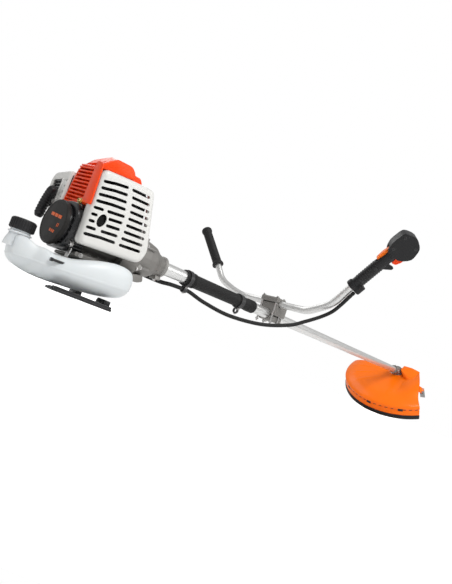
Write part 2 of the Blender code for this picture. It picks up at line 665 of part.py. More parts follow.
def throttle_side(tube):
    """The throttle handle and its controls, in a frame whose Z axis runs up the right arm.

    Its Y axis points where the fingers reach the trigger, and -X to the thumb's side.
    """
    turn = Z_AXIS.rotation_difference(arm_direction(-1)) @ Quaternion(Z_AXIS, math.radians(-135))
    grip = empty("throttle_frame", arm_point(-1, HANDLE_Z), turn.to_euler(), tube)
    bore = BAR_RADIUS + GAP
    profile = [(0, 130), (14, 130), (14, 14), (17.5, 10), (17.5, 0), (bore, 0), (bore, 80), (0, 80)]
    body = turned("throttle_handle", profile, "black", grip, steps=20, direction=Z_AXIS)
    outline = rounded([(-14, 112), (-24, 134), (-22, 168), (4, 177), (28, 164), (35, 136), (18, 116)], 8, 2)
    head = side_like("handle_head", outline, 38, "black", grip)
    hook = side_like("trigger_hook", [(8, 78), (8, 94), (27, 97), (27, 91), (14, 80)], 14, "black", grip)
    boss = rod("cable_boss", 9.5, (11, 11, 0), (11, 11, 22), "black", grip, 14)
    bar_way = rod("handle_bar_way", bore, (0, 0, -5), (0, 0, 80), "black", grip, 20)
    trigger_slot = block("trigger_slot", (11, 34, 44), (0, 17, 119), "black", grip)
    lockout_slot = block("lockout_slot", (13, 17, 42), (0, -14.5, 104), "black", grip)
    weld(body, head, hook, boss)
    cut(body, bar_way, trigger_slot, lockout_slot)
    trigger = rounded([(3, 136), (12, 137), (25, 131), (29, 118), (24, 104), (14, 101), (13, 116)], 3, 2)
    side_like("throttle_trigger", trigger, 9, "red_orange", grip)
    lock = rounded([(-9, 123), (-16, 123), (-18, 108), (-17, 88), (-13, 86), (-10, 100)], 2, 2)
    side_like("trigger_lockout", lock, 11, "orange", grip)
    block("stop_switch", (5, 10, 14), (-19 - GAP - 2.5, 4, 148), "orange", grip, 1.5, segments=1)


def side_like(name, outline, thickness, mat, parent):
    """A plate in the (y, z) plane of its parent, centred on x = 0."""
    return end_plate(name, [outline], -thickness / 2, thickness / 2, mat, parent)


CABLE_ROUTE = [
    (331.4, -244.1, 99.6), (333.2, -236, 89.8), (339, -219, 69), (341, -200, 46), (335, -178, 26), (307, -156, 1),
    (275, -138, -20), (210, -108, -41), (142, -66, -47), (92, -28, -38), (66, -4, -27.6), (54, 0, CLAMP_LOOP_Z),
    (34, 0, CLAMP_LOOP_Z), (10, 5, -26), (-16, 20, -28), (-58, 52, -22), (-104, 66, 0), (-134, 68, 34),
    (-141, 72, 64), (-147, 72.5, 81), (-158, 72, LEVER_Z),
]


def throttle_cable(tube):
    pipe("throttle_cable", smooth_route(CABLE_ROUTE, 48), 4.6, "rubber", tube, 2)


# ---------------------------------------------------------------- head and guard


def gearbox(head, tube):
    """The angle gearbox: a hollow ball below the tube's end, open downwards for the output shaft."""
    housing = tube_ring("gearbox_housing", 19, TUBE_RADIUS + GAP, 1398, 1428, "cast", tube)
    outside = [(0, 22), (16, 18), (24, 6), (25, -8), (25, -34), (0, -34)]
    ball = turned("gear_ball", outside, "cast", head, direction=Z_AXIS)
    neck = rod("gear_neck", 20, (1420, 0, 0), (1450, 0, 0), "cast", tube, 24)
    inside = [(0, 12), (19, 8), (20, -6), (20, -27), (0, -27)]
    hollow = turned("gear_hollow", inside, "cast", head, direction=Z_AXIS)
    mouth = rod("gear_mouth", 6, (0, 0, -20), (0, 0, -60), "cast", head, 20)
    shaft_way = rod("gear_way", 10, (1410, 0, 0), (1446, 0, 0), "cast", tube, 20)
    tube_way = rod("gear_tube_way", TUBE_RADIUS + GAP, (1390, 0, 0), (TUBE_END + 0.5, 0, 0), "cast", tube, 24)
    weld(housing, ball, neck)
    cut(housing, hollow, mouth, shaft_way, tube_way)


def gears(head, tube):
    rod("bevel_pinion", 9, (PINION_X, 0, 0), (PINION_X + 10, 0, 0), "steel", tube, 14, 6)
    gear = [(0, -6), (7, -6), (12.5, -10), (12.5, -18), (5, -18), (5, -60), (0, -60)]
    turned("output_gear", gear, "steel", head, direction=Z_AXIS, steps=20)


def line_head(head):
    """The bump-feed head: a solid spool stands for the wound line, over the sprung knob."""
    spool = [(5 + GAP, -37), (26, -37), (50, -46), (54, -52), (54, -70), (50, -76), (24, -80), (24, -66)]
    spool += [(5 + GAP, -66)]
    turned("spool_housing", spool, "black", head, direction=Z_AXIS, ring=True, steps=28)
    knob = [(0, -74), (20, -74), (20, -86), (14, -93), (0, -94)]
    turned("bump_knob", knob, "orange", head, direction=Z_AXIS, steps=24)
    for name, spin in (("cutting_line_left", LINE_SPIN), ("cutting_line_right", LINE_SPIN + math.pi)):
        turn = Matrix.Rotation(spin, 3, "Z")
        route = [turn @ Vector(p) for p in ((0, 55.6, -62), (-20, 76, -63), (-46, 94, -66))]
        pipe(name, smooth_route(route, 8), 1.4, "nylon", head, 1)


def guard_outline(radius, count=15):
    return arc(radius, 180 - GUARD_FIRST, 180 - GUARD_LAST, count)


def guard(head):
    """A dome over part of a circle, thickened from an open sheet, with a lower band, a skirt and a knife."""
    count = 15
    bm = bmesh.new()
    rows = []
    for i in range(count):
        t = i / (count - 1)
        rim_angle = math.radians(GUARD_FIRST + (GUARD_LAST - GUARD_FIRST) * t)
        inner_angle = math.radians(-104 + 208 * t)
        inner_radius = 60 + 37 * max(0, 1 - 4 * t)
        lift = (2 * t - 1) ** 2
        inner = Vector((-inner_radius * 0.7 * math.cos(inner_angle), inner_radius * math.sin(inner_angle), 0))
        inner.z = 8 * lift - 10 + 20 * max(0, 1 - 5 * t)
        rim = Vector((-GUARD_RADIUS * math.cos(rim_angle), GUARD_RADIUS * math.sin(rim_angle), 0))
        shoulder = inner.lerp(rim * 0.93, 0.86)
        shoulder.z = -16
        middle = inner.lerp(rim, 0.45)
        middle.z = inner.z - 3
        edge = Vector((rim.x, rim.y, GUARD_RIM_Z + 1))
        rows.append([bm.verts.new(p * MM) for p in (inner, middle, shoulder, edge)])
    for near, far in zip(rows, rows[1:]):
        for a, b, c, d in zip(near, near[1:], far[1:], far):
            bm.faces.new((a, b, c, d))
    dome = smooth(place("guard", mesh_from(bm, "guard"), "orange", head, (0, 0, 0)), 50)
    wall = dome.modifiers.new("wall", "SOLIDIFY")
    wall.thickness = 3 * MM
    wall.offset = 0
    band = guard_outline(GUARD_RADIUS + 2) + guard_outline(GUARD_RADIUS - 1)[::-1]
    band_top = GUARD_RIM_Z - 2
    band_height = band_top - SKIRT_Z
    plate("guard_extension", [band], band_height, (0, 0, band_top - band_height / 2), "orange", head)
    skirt = guard_outline(GUARD_RADIUS + 2) + guard_outline(GUARD_RADIUS - 3)[::-1]
    skirt_top = SKIRT_Z - GAP
    skirt_height = skirt_top - SKIRT_FOOT_Z
    plate("guard_skirt", [skirt], skirt_height, (0, 0, skirt_top - skirt_height / 2), "rubber", head)
    knife_spin = math.atan2(-77, -180)
    block("line_cutter", (64, 19, 2.5), (-86, -158, -12), "steel", head, 0.6, spin=knife_spin, segments=1)


def main():
    row = empty("row_frame", (0, 0, 0))
    tube = empty("tube_frame", TUBE_ORIGIN, (0, -PITCH, 0), row)
    head = empty("head_frame", (HEAD_X, 0, 0), (0, -HEAD_TILT, 0), tube)
    crankcase(tube)
    crank(tube)
    piston_set(tube)
    cylinder(tube)
    flywheel(tube)
    clutch(tube)
    exhaust(tube)
    side_cover(tube)
    cylinder_cover(tube)
    intake(tube)
    starter(tube)
    fuel_tank(tube)
    base_and_stand(row, tube)
    shaft(tube)
    handlebar(tube)
    bracket(tube)
    left_grip(tube)
    throttle_side(tube)
    throttle_cable(tube)
    gearbox(head, tube)
    gears(head, tube)
    line_head(head)
    guard(head)


main()
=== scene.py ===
"""Looks for a petrol string trimmer with a bike handle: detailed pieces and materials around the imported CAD."""
import math

import bmesh
import bpy
import numpy as np
from mathutils import Matrix, Quaternion, Vector, noise


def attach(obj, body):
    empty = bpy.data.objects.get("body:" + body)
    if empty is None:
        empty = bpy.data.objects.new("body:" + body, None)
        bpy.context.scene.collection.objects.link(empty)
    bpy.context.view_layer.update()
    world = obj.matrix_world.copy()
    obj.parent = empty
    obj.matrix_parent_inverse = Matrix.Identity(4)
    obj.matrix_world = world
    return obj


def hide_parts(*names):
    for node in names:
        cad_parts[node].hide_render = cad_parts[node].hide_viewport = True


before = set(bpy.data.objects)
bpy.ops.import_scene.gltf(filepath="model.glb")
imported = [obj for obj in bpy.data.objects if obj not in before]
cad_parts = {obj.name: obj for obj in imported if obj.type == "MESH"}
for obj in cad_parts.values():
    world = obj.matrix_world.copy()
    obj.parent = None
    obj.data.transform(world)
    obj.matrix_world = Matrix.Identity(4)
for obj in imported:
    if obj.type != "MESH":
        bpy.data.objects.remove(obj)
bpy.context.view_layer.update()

# Frames of the CAD, from millimetres to the row frame in metres
PITCH = math.radians(3.85)
HEAD_TILT = math.radians(35.0)
TUBE_ORIGIN = (0.206, 0, 0.125)
TUBE_START, TUBE_END, TUBE_RADIUS = -56, 1425, 14
HEAD_X = 1455
ROW = Matrix.Scale(0.001, 4)
TUBE = Matrix.Translation(TUBE_ORIGIN) @ Matrix.Rotation(-PITCH, 4, "Y") @ ROW
HEAD = TUBE @ Matrix.Translation((HEAD_X, 0, 0)) @ Matrix.Rotation(-HEAD_TILT, 4, "Y")
ARM_BACK, ARM_OUT = -0.16, 0.86
ARM_START_X, ARM_START_Y = 349.0, 138.0
BAR_X, BAR_Z, BAR_RADIUS = 366.0, 35.0, 9.5
HANDLE_Z, GRIP_Z = 112.0, 105
HANDLE_TWIST = math.radians(-135)


def arm_direction(side):
    return Vector((ARM_BACK, side * ARM_OUT, 1)).normalized()


def arm_point(side, z):
    return Vector((ARM_START_X + ARM_BACK * z, side * (ARM_START_Y + ARM_OUT * z), z))


UP = Vector((0, 0, 1))
HANDLE_TURN = UP.rotation_difference(arm_direction(-1)) @ Quaternion(UP, HANDLE_TWIST)
HANDLE = TUBE @ Matrix.Translation(arm_point(-1, HANDLE_Z)) @ HANDLE_TURN.to_matrix().to_4x4()
GRIP_TURN = UP.rotation_difference(arm_direction(1))
GRIP = TUBE @ Matrix.Translation(arm_point(1, GRIP_Z)) @ GRIP_TURN.to_matrix().to_4x4()

# ---------------------------------------------------------------- camera

CAMERA_AT = (-0.2967, -0.675, 0.0140)
CAMERA_RIGHT = (0.6197, -0.693, 0.3682)
CAMERA_AHEAD = (0.7011, 0.700, 0.1356)
CAMERA_LENS = 24.04


def camera():
    """Low at the engine's near rear side, rolled so that the tube runs down to the right."""
    data = bpy.data.cameras.new("camera")
    data.sensor_width = 36.0
    data.lens = CAMERA_LENS
    data.clip_start = 0.02
    right = Vector(CAMERA_RIGHT).normalized()
    ahead = Vector(CAMERA_AHEAD).normalized()
    down = ahead.cross(right).normalized()
    right = down.cross(ahead)
    turn = Matrix((right, -down, -ahead)).transposed()
    eye = bpy.data.objects.new("camera", data)
    bpy.context.scene.collection.objects.link(eye)
    eye.matrix_world = Matrix.Translation(CAMERA_AT) @ turn.to_4x4()
    bpy.context.scene.camera = eye


camera()

# ---------------------------------------------------------------- materials


def material(name, color, roughness, metallic=0.0, coat=0.0, grain=1500.0, bump=0.08, vary=0.08, patch=30.0,
             stretch=(1, 1, 1), subsurface=0.0, worn=0.0, rough_vary=0.12, transmission=0.0, shine=0.5):
    """A Principled finish with broad colour variation, fine grain in the bump and roughness, and worn edges."""
    mat = bpy.data.materials.new(name)
    mat.use_nodes = True
    nodes, links = mat.node_tree.nodes, mat.node_tree.links
    shader = nodes["Principled BSDF"]
    shader.inputs["Metallic"].default_value = metallic
    shader.inputs["Coat Weight"].default_value = coat
    shader.inputs["Specular IOR Level"].default_value = shine
    shader.inputs["Coat Roughness"].default_value = 0.07
    shader.inputs["Subsurface Weight"].default_value = subsurface
    shader.inputs["Subsurface Radius"].default_value = (1.0, 0.9, 0.8)
    shader.inputs["Subsurface Scale"].default_value = 0.012
    shader.inputs["Transmission Weight"].default_value = transmission
    where = nodes.new("ShaderNodeTexCoord")
    mapping = nodes.new("ShaderNodeMapping")
    mapping.inputs["Rotation"].default_value = (0, PITCH, 0)
    mapping.inputs["Scale"].default_value = stretch
    links.new(where.outputs["Object"], mapping.inputs["Vector"])
    broad = nodes.new("ShaderNodeTexNoise")
    broad.inputs["Scale"].default_value = patch
    broad.inputs["Detail"].default_value = 4
    fine = nodes.new("ShaderNodeTexNoise")
    fine.inputs["Scale"].default_value = grain
    fine.inputs["Detail"].default_value = 3
    for texture in (broad, fine):
        links.new(mapping.outputs["Vector"], texture.inputs["Vector"])
    shade = nodes.new("ShaderNodeMix")
    shade.data_type = "RGBA"
    dark = [c * (1 - vary) for c in color]
    light = [min(1, c * (1 + vary)) for c in color]
    shade.inputs["A"].default_value = (*dark, 1)
    shade.inputs["B"].default_value = (*light, 1)
    links.new(broad.outputs["Fac"], shade.inputs["Factor"])
    finish = shade.outputs["Result"]
    if worn:
        shape = nodes.new("ShaderNodeNewGeometry")
        edge = nodes.new("ShaderNodeMapRange")
        edge.inputs["From Min"].default_value = 0.52
        edge.inputs["From Max"].default_value = 0.62
        edge.inputs["To Max"].default_value = worn
        links.new(shape.outputs["Pointiness"], edge.inputs["Value"])
        rub = nodes.new("ShaderNodeMix")
        rub.data_type = "RGBA"
        rub.inputs["B"].default_value = (*[min(1, 0.25 + c * 1.1) for c in color], 1)
        links.new(edge.outputs["Result"], rub.inputs["Factor"])
        links.new(finish, rub.inputs["A"])
        finish = rub.outputs["Result"]
    links.new(finish, shader.inputs["Base Color"])
    rough = nodes.new("ShaderNodeMapRange")
    rough.inputs["To Min"].default_value = max(0.03, roughness - rough_vary)
    rough.inputs["To Max"].default_value = roughness + rough_vary
    links.new(broad.outputs["Fac"], rough.inputs["Value"])
    links.new(rough.outputs["Result"], shader.inputs["Roughness"])
    relief = nodes.new("ShaderNodeBump")
    relief.inputs["Strength"].default_value = bump
    relief.inputs["Distance"].default_value = 0.0004
    links.new(fine.outputs["Fac"], relief.inputs["Height"])
    links.new(relief.outputs["Normal"], shader.inputs["Normal"])
    return mat


BRUSHED = (0.04, 1, 1)
MATS = {
    "orange": material("orange_plastic", (1.0, 0.175, 0.003), 0.32, coat=0.07, grain=900, bump=0.05, vary=0.05,
                       patch=12, shine=0.18),
    "red_orange": material("red_orange_plastic", (0.88, 0.062, 0.006), 0.34, coat=0.06, grain=900, bump=0.05,
                           vary=0.07, shine=0.15),
    "white": material("warm_white_plastic", (0.655, 0.65, 0.625), 0.38, coat=0.12, grain=1400, bump=0.07, vary=0.03,
                      shine=0.4),
    "black": material("black_moulded_plastic", (0.010, 0.010, 0.011), 0.42, grain=2200, bump=0.12, vary=0.2,
                      worn=0.06, shine=0.28),
    "gloss_black": material("gloss_black_plastic", (0.009, 0.009, 0.010), 0.26, coat=0.12, grain=1500, bump=0.06,
                            vary=0.2, worn=0.06, shine=0.35),
    "dark_grey": material("charcoal_label_plastic", (0.012, 0.011, 0.010), 0.55, grain=2600, bump=0.15, vary=0.1,
                          shine=0.25),
    "rubber": material("black_rubber", (0.012, 0.012, 0.012), 0.6, grain=1800, bump=0.45, vary=0.25, worn=0.05,
                       shine=0.25),
    "tank": material("milky_tank", (0.66, 0.69, 0.70), 0.36, subsurface=0.4, grain=420, bump=0.07, vary=0.035,
                     patch=9, coat=0.1, shine=0.4),
    "alloy": material("satin_aluminium", (0.70, 0.70, 0.69), 0.34, metallic=0.8, grain=1600, bump=0.01, vary=0.03,
                      stretch=BRUSHED),
    "bar_alloy": material("satin_bar_aluminium", (0.66, 0.66, 0.65), 0.36, metallic=0.8, grain=700, bump=0.0,
                          vary=0.02, patch=8, rough_vary=0.04),
    "cast": material("cast_aluminium", (0.22, 0.212, 0.20), 0.5, metallic=0.5, grain=900, bump=0.6, vary=0.16,
                     patch=60, worn=0.3, shine=0.3),
    "steel": material("bright_steel", (0.55, 0.54, 0.53), 0.28, metallic=1.0, grain=1400, bump=0.1, vary=0.1),
    "brass": material("zinc_yellow_steel", (0.72, 0.55, 0.24), 0.3, metallic=1.0, grain=1400, bump=0.1, vary=0.15),
    "foam": material("filter_foam", (0.03, 0.03, 0.032), 0.95, grain=700, bump=1.0, vary=0.4, patch=500),
    "nylon": material("trimmer_line", (0.75, 0.17, 0.02), 0.35, grain=900, bump=0.05, transmission=0.25),
    # Near-black steel, partly real and partly painted shade: the muffler's heat blackening, made dark enough to stand
    # in for the shade seen through the cover's slots, and painted shade on the plates behind the filter case's
    # openings.
    "soot_and_painted_shade": material("heat_blackened_steel_and_painted_shade", (0.008, 0.008, 0.008), 0.8, metallic=0.1, grain=900, bump=0.4, vary=0.3,
                     shine=0.15),
    "marks": material("printed_orange_marks", (0.72, 0.11, 0.012), 0.5, grain=2600, bump=0.1, vary=0.15, patch=300),
}

# ---------------------------------------------------------------- shapes, all in millimetres


def object_from(bm, recalc=True):
    if recalc:
        bmesh.ops.recalc_face_normals(bm, faces=bm.faces)
    mesh = bpy.data.meshes.new("shape")
    bm.to_mesh(mesh)
    bm.free()
    obj = bpy.data.objects.new("shape", mesh)
    bpy.context.scene.collection.objects.link(obj)
    return obj


def applied(obj):
    graph = bpy.context.evaluated_depsgraph_get()
    mesh = bpy.data.meshes.new_from_object(obj.evaluated_get(graph))
    obj.modifiers.clear()
    obj.data = mesh
    return obj


def merged(*objs):
    """One mesh from several shapes, which are used up."""
    bm = bmesh.new()
    for obj in objs:
        bm.from_mesh(obj.data)
        bpy.data.objects.remove(obj)
    return object_from(bm, recalc=False)


def boolean(obj, other, operation):
    step = obj.modifiers.new("step", "BOOLEAN")
    step.operation = operation
    step.solver = "EXACT"
    step.object = other
    applied(obj)
    bpy.data.objects.remove(other)
    return obj


def cut(obj, *others):
    return boolean(obj, merged(*others), "DIFFERENCE")


def rounded(corners, radius, count=5):
    """The closed outline with each corner drawn as a short curve."""
    outline = []
    total = len(corners)
    for i, corner in enumerate(corners):
        here = Vector(corner)
        to_before = Vector(corners[i - 1]) - here
        to_after = Vector(corners[(i + 1) % total]) - here
        reach = min(radius, to_before.length * 0.49, to_after.length * 0.49)
        before, after = to_before.normalized() * reach, to_after.normalized() * reach
        for step in range(count + 1):
            t = step / count
            outline.append(tuple(here + before * (1 - t) ** 2 + after * t**2))
    return outline


def inset(points, distance):
    """The outline moved inwards along its corners' mean normals."""
    pts = np.array(points)
    after, before = np.roll(pts, -1, 0) - pts, pts - np.roll(pts, 1, 0)
    area = np.sum(pts[:, 0] * np.roll(pts[:, 1], -1) - np.roll(pts[:, 0], -1) * pts[:, 1])
    sign = 1 if area > 0 else -1
    normals = []
    for a, b in zip(before, after):
        na = np.array((-a[1], a[0])) / (np.hypot(*a) + 1e-9)
        nb = np.array((-b[1], b[0])) / (np.hypot(*b) + 1e-9)
        n = na + nb
        n = n / (np.hypot(*n) + 1e-9)
        normals.append(n / max(0.4, float(n @ na)))
    return [tuple(p) for p in pts + sign * distance * np.array(normals)]


PLANES = {
    "XY": lambda u, v, w: (u, v, w),
    "XZ": lambda u, v, w: (u, w, v),
    "YZ": lambda u, v, w: (w, u, v),
}


def loft(loops, ring=False):
    """Faces between loops of equal length, each a list of 3-D points."""
    bm = bmesh.new()
    rings = [[bm.verts.new(p) for p in loop] for loop in loops]
    pairs = list(zip(rings, rings[1:]))
    if ring:
        pairs.append((rings[-1], rings[0]))
    for near, far in pairs:
        for i in range(len(near)):
            j = (i + 1) % len(near)
            bm.faces.new((near[i], near[j], far[j], far[i]))
    if not ring:
        bm.faces.new(rings[0])
        bm.faces.new(rings[-1])
    return object_from(bm)


def prism(outline, low, high, plane="XY", bevel=0.0, steps=2):
    """An extruded outline with rounded rims."""
    to = PLANES[plane]
    levels = []
    for k in range(steps + 1):
        turn = math.pi / 2 * k / steps
        levels.append((bevel * (1 - math.sin(turn)), bevel * (1 - math.cos(turn))))
    if not bevel:
        levels = [(0, 0)]
    loops = [[to(u, v, low + drop) for u, v in inset(outline, step)] for step, drop in levels]
    loops += [[to(u, v, high - drop) for u, v in inset(outline, step)] for step, drop in levels[::-1]]
    return loft(loops)


RIM_STEPS = 5


def tray(outline, face, rim, plane, radius, wall):
    """A shallow shell: a face with a rounded rim, open at the other end."""
    to = PLANES[plane]
    sign = 1 if rim > face else -1
    loops = [[to(u, v, face + sign * wall) for u, v in inset(outline, max(radius, wall + 0.5))]]
    loops.append([to(u, v, face + sign * (wall + 2)) for u, v in inset(outline, wall)])
    loops.append([to(u, v, rim) for u, v in inset(outline, wall)])
    loops.append([to(u, v, rim) for u, v in outline])
    for k in range(RIM_STEPS + 1):
        turn = math.pi / 2 * k / RIM_STEPS
        step, drop = radius * (1 - math.cos(turn)), radius * (1 - math.sin(turn))
        loops.append([to(u, v, face + sign * drop) for u, v in inset(outline, step)])
    return loft(loops)


def box(size, at, bevel=0.6, turn=None):
    """A block with rounded edges, centred on at."""
    bm = bmesh.new()
    bmesh.ops.create_cube(bm, size=1.0)
    bmesh.ops.scale(bm, vec=Vector(size), verts=bm.verts)
    if bevel:
        bmesh.ops.bevel(bm, geom=list(bm.edges), offset=bevel, segments=2, affect="EDGES", profile=0.5)
    if turn is not None:
        bmesh.ops.transform(bm, matrix=turn.to_4x4(), verts=bm.verts)
    bmesh.ops.translate(bm, vec=Vector(at), verts=bm.verts)
    return object_from(bm)


def turned(profile, at=(0, 0, 0), direction=UP, sides=40, ring=False):
    """A body of revolution from (radius, height) points."""
    turn = UP.rotation_difference(Vector(direction).normalized()).to_matrix()
    loops = []
    for radius, height in profile:
        loop = []
        for k in range(sides):
            a = 2 * math.pi * k / sides
            r = max(radius, 0.001)
            loop.append(turn @ Vector((r * math.cos(a), r * math.sin(a), height)) + Vector(at))
        loops.append(loop)
    return loft(loops, ring=ring)


def smooth_route(points, count):
    """Catmull-Rom points through the given ones, evenly spaced in parameter."""
    pts = [Vector(p) for p in points]
    pts = [2 * pts[0] - pts[1], *pts, 2 * pts[-1] - pts[-2]]
    spans = len(pts) - 3
    out = []
    for k in range(count):
        t = spans * k / (count - 1)
        i = min(int(t), spans - 1)
        t -= i
        a, b, c, d = pts[i:i + 4]
        out.append(0.5 * (2 * b + (c - a) * t + (2 * a - 5 * b + 4 * c - d) * t**2 + (3 * b - a - 3 * c + d) * t**3))
    return out


def sweep(points, radius, sides=20, flat=1.0):
    """A tube along points. radius is one number or a function of the share of the way along."""
    pts = [Vector(p) for p in points]
    side = None
    loops = []
    for i, p in enumerate(pts):
        ahead = (pts[min(i + 1, len(pts) - 1)] - pts[max(i - 1, 0)]).normalized()
        if side is None:
            side = ahead.orthogonal().normalized()
        side = (side - ahead * side.dot(ahead)).normalized()
        other = ahead.cross(side)
        r = radius(i / (len(pts) - 1)) if callable(radius) else radius
        loop = []
        for k in range(sides):
            a = 2 * math.pi * k / sides
            loop.append(p + side * r * math.cos(a) + other * flat * r * math.sin(a))
        loops.append(loop)
    return loft(loops)


def hull(points, bevel):
    """The convex body round the points, with rounded edges."""
    bm = bmesh.new()
    for p in points:
        bm.verts.new(p)
    bmesh.ops.convex_hull(bm, input=bm.verts)
    bmesh.ops.bevel(bm, geom=list(bm.edges), offset=bevel, segments=3, affect="EDGES", profile=0.5,
                    clamp_overlap=True)
    return object_from(bm)


def bolt(at, direction, radius=3.2, height=3.0, hexagon=True):
    """A hex or socket head on a washer."""
    washer = turned([(0, 0), (radius * 1.5, 0), (radius * 1.5, 0.8), (0, 0.8)], at, direction, 20)
    sides = 6 if hexagon else 20
    head = [(0, 0.7), (radius, 0.7), (radius, height * 0.85), (radius * 0.88, height), (radius * 0.5, height)]
    head += [(radius * 0.45, height * 0.6), (0, height * 0.6)]
    return merged(washer, turned(head, at, direction, sides))


def softened(node, voxel, rounds, keep=0.4):
    """The CAD solid with its edges rounded as a casting's or a moulding's are."""
    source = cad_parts[node]
    mesh = source.data.copy()
    mesh.materials.clear()
    obj = bpy.data.objects.new("shape", mesh)
    bpy.context.scene.collection.objects.link(obj)
    remesh = obj.modifiers.new("voxels", "REMESH")
    remesh.mode = "VOXEL"
    remesh.voxel_size = voxel * 0.001
    relax = obj.modifiers.new("relax", "SMOOTH")
    relax.factor = 0.6
    relax.iterations = rounds
    fewer = obj.modifiers.new("fewer", "DECIMATE")
    fewer.ratio = keep
    return applied(obj)


def piece(name, obj, mat, body="root", replaces=(), place=TUBE, angle=38):
    """Names the shape, sets it in place with its finish, and hangs it on its body."""
    obj.name = name
    obj.data.name = name
    if place is not None:
        obj.data.transform(place)
    obj.data.materials.clear()
    obj.data.materials.append(MATS[mat])
    obj.data.shade_smooth()
    obj.data.set_sharp_from_angle(angle=math.radians(angle))
    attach(obj, body)
    if replaces:
        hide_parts(*replaces)
    return obj


# ---------------------------------------------------------------- engine covers

COVER_FACE, COVER_RIM = -76.0, -53.5
SLOT_CUT = (-90, -66)
SLOT_ROWS, SLOT_HEIGHT = 9, 5.2
WINDOW_ROWS = range(4, 8)


def pill(path, height, low, high):
    """A cutter with rounded ends along (x, z) points."""
    pts = [Vector(p) for p in path]
    upper, lower = [], []
    for k, p in enumerate(pts):
        along = (pts[min(k + 1, len(pts) - 1)] - pts[max(k - 1, 0)]).normalized()
        across = Vector((-along.y, along.x)) * height / 2
        upper.append(p + across)
        lower.append(p - across)
    outline = list(lower)
    for end, along, rim in ((pts[-1], (pts[-1] - pts[-2]).normalized(), upper[::-1]),
                            (pts[0], (pts[0] - pts[1]).normalized(), [])):
        across = Vector((-along.y, along.x))
        for k in range(1, 6):
            turn = math.radians(-90 + 30 * k)
            outline.append(end + (along * math.cos(turn) + across * math.sin(turn)) * height / 2)
        outline += rim
    return prism([tuple(p) for p in outline], low, high, "XZ")


def side_cover():
    """The white cover: nine rows of slots, split round the oval window, and small openings along two edges."""
    corners = [(-250, 100.5), (-247.5, -26), (-131, -19), (-122, 4), (-151, 111.5), (-197, 107.5)]
    shell = tray(rounded(corners, 11), COVER_FACE, COVER_RIM, "XZ", 7.5, 2.6)
    slots = []
    for row in range(SLOT_ROWS):
        left, right = (-243.0, 81.3 - 11.2 * row), (min(-192.5, -204 + 2.9 * row), 91 - 11.75 * row)
        if row in WINDOW_ROWS:
            gap_low = (-230.5, -237, -237.5, -231.5)[row - 4]
            gap_high = (-220, -213.5, -213.5, -218.5)[row - 4]
            rise = (right[1] - left[1]) / (right[0] - left[0])
            slots.append(pill([left, (gap_low, left[1] + rise * (gap_low - left[0]))], 5.0, *SLOT_CUT))
            slots.append(pill([(gap_high, left[1] + rise * (gap_high - left[0])), right], SLOT_HEIGHT, *SLOT_CUT))
        else:
            middle = ((left[0] + right[0]) / 2, (left[1] + right[1]) / 2 + 0.9)
            slots.append(pill([left, middle, right], SLOT_HEIGHT, *SLOT_CUT))
        fade = max(0.0, 1 - row / 8) ** 2
        start = (-180 - 12.3 * max(0.0, 1 - row / 5) ** 2, 92.2 - 11.85 * row)
        slots.append(pill([start, (-141.5 - 19 * fade, 94.6 - 11.75 * row)], SLOT_HEIGHT, *SLOT_CUT))
    oval = [(-225.5 + 7.5 * math.cos(a) + 1.8 * math.sin(a), 21.5 + 11.5 * math.sin(a))
            for a in np.linspace(0, 2 * math.pi, 28, endpoint=False)]
    slots.append(prism(oval, *SLOT_CUT, "XZ"))
    for k in range(6):
        x = -188 + 6.6 * k
        slots.append(box((3.2, 9, 16), (x, -65, 109.5), 0))
    for k in range(8):
        slots.append(box((16, 9, 4), (-146 + 2.9 * k, -64, 98 - 11.6 * k), 0))
    cut(shell, *slots)
    piece("side_cover_shell", shell, "white", replaces=["side_cover"])


def slot_backing():
    """A gloss black plate behind the slots, painted shade: it stands in for the shade inside the cover."""
    outline = rounded([(-244, 95), (-241, -20), (-136, -13), (-130, 2), (-156, 104)], 8)
    piece("slot_painted_shade_plate", prism(outline, -57, -55.5, "XZ", 0.4), "gloss_black")


HOOD_TOP, HOOD_BEND = 141.0, 112


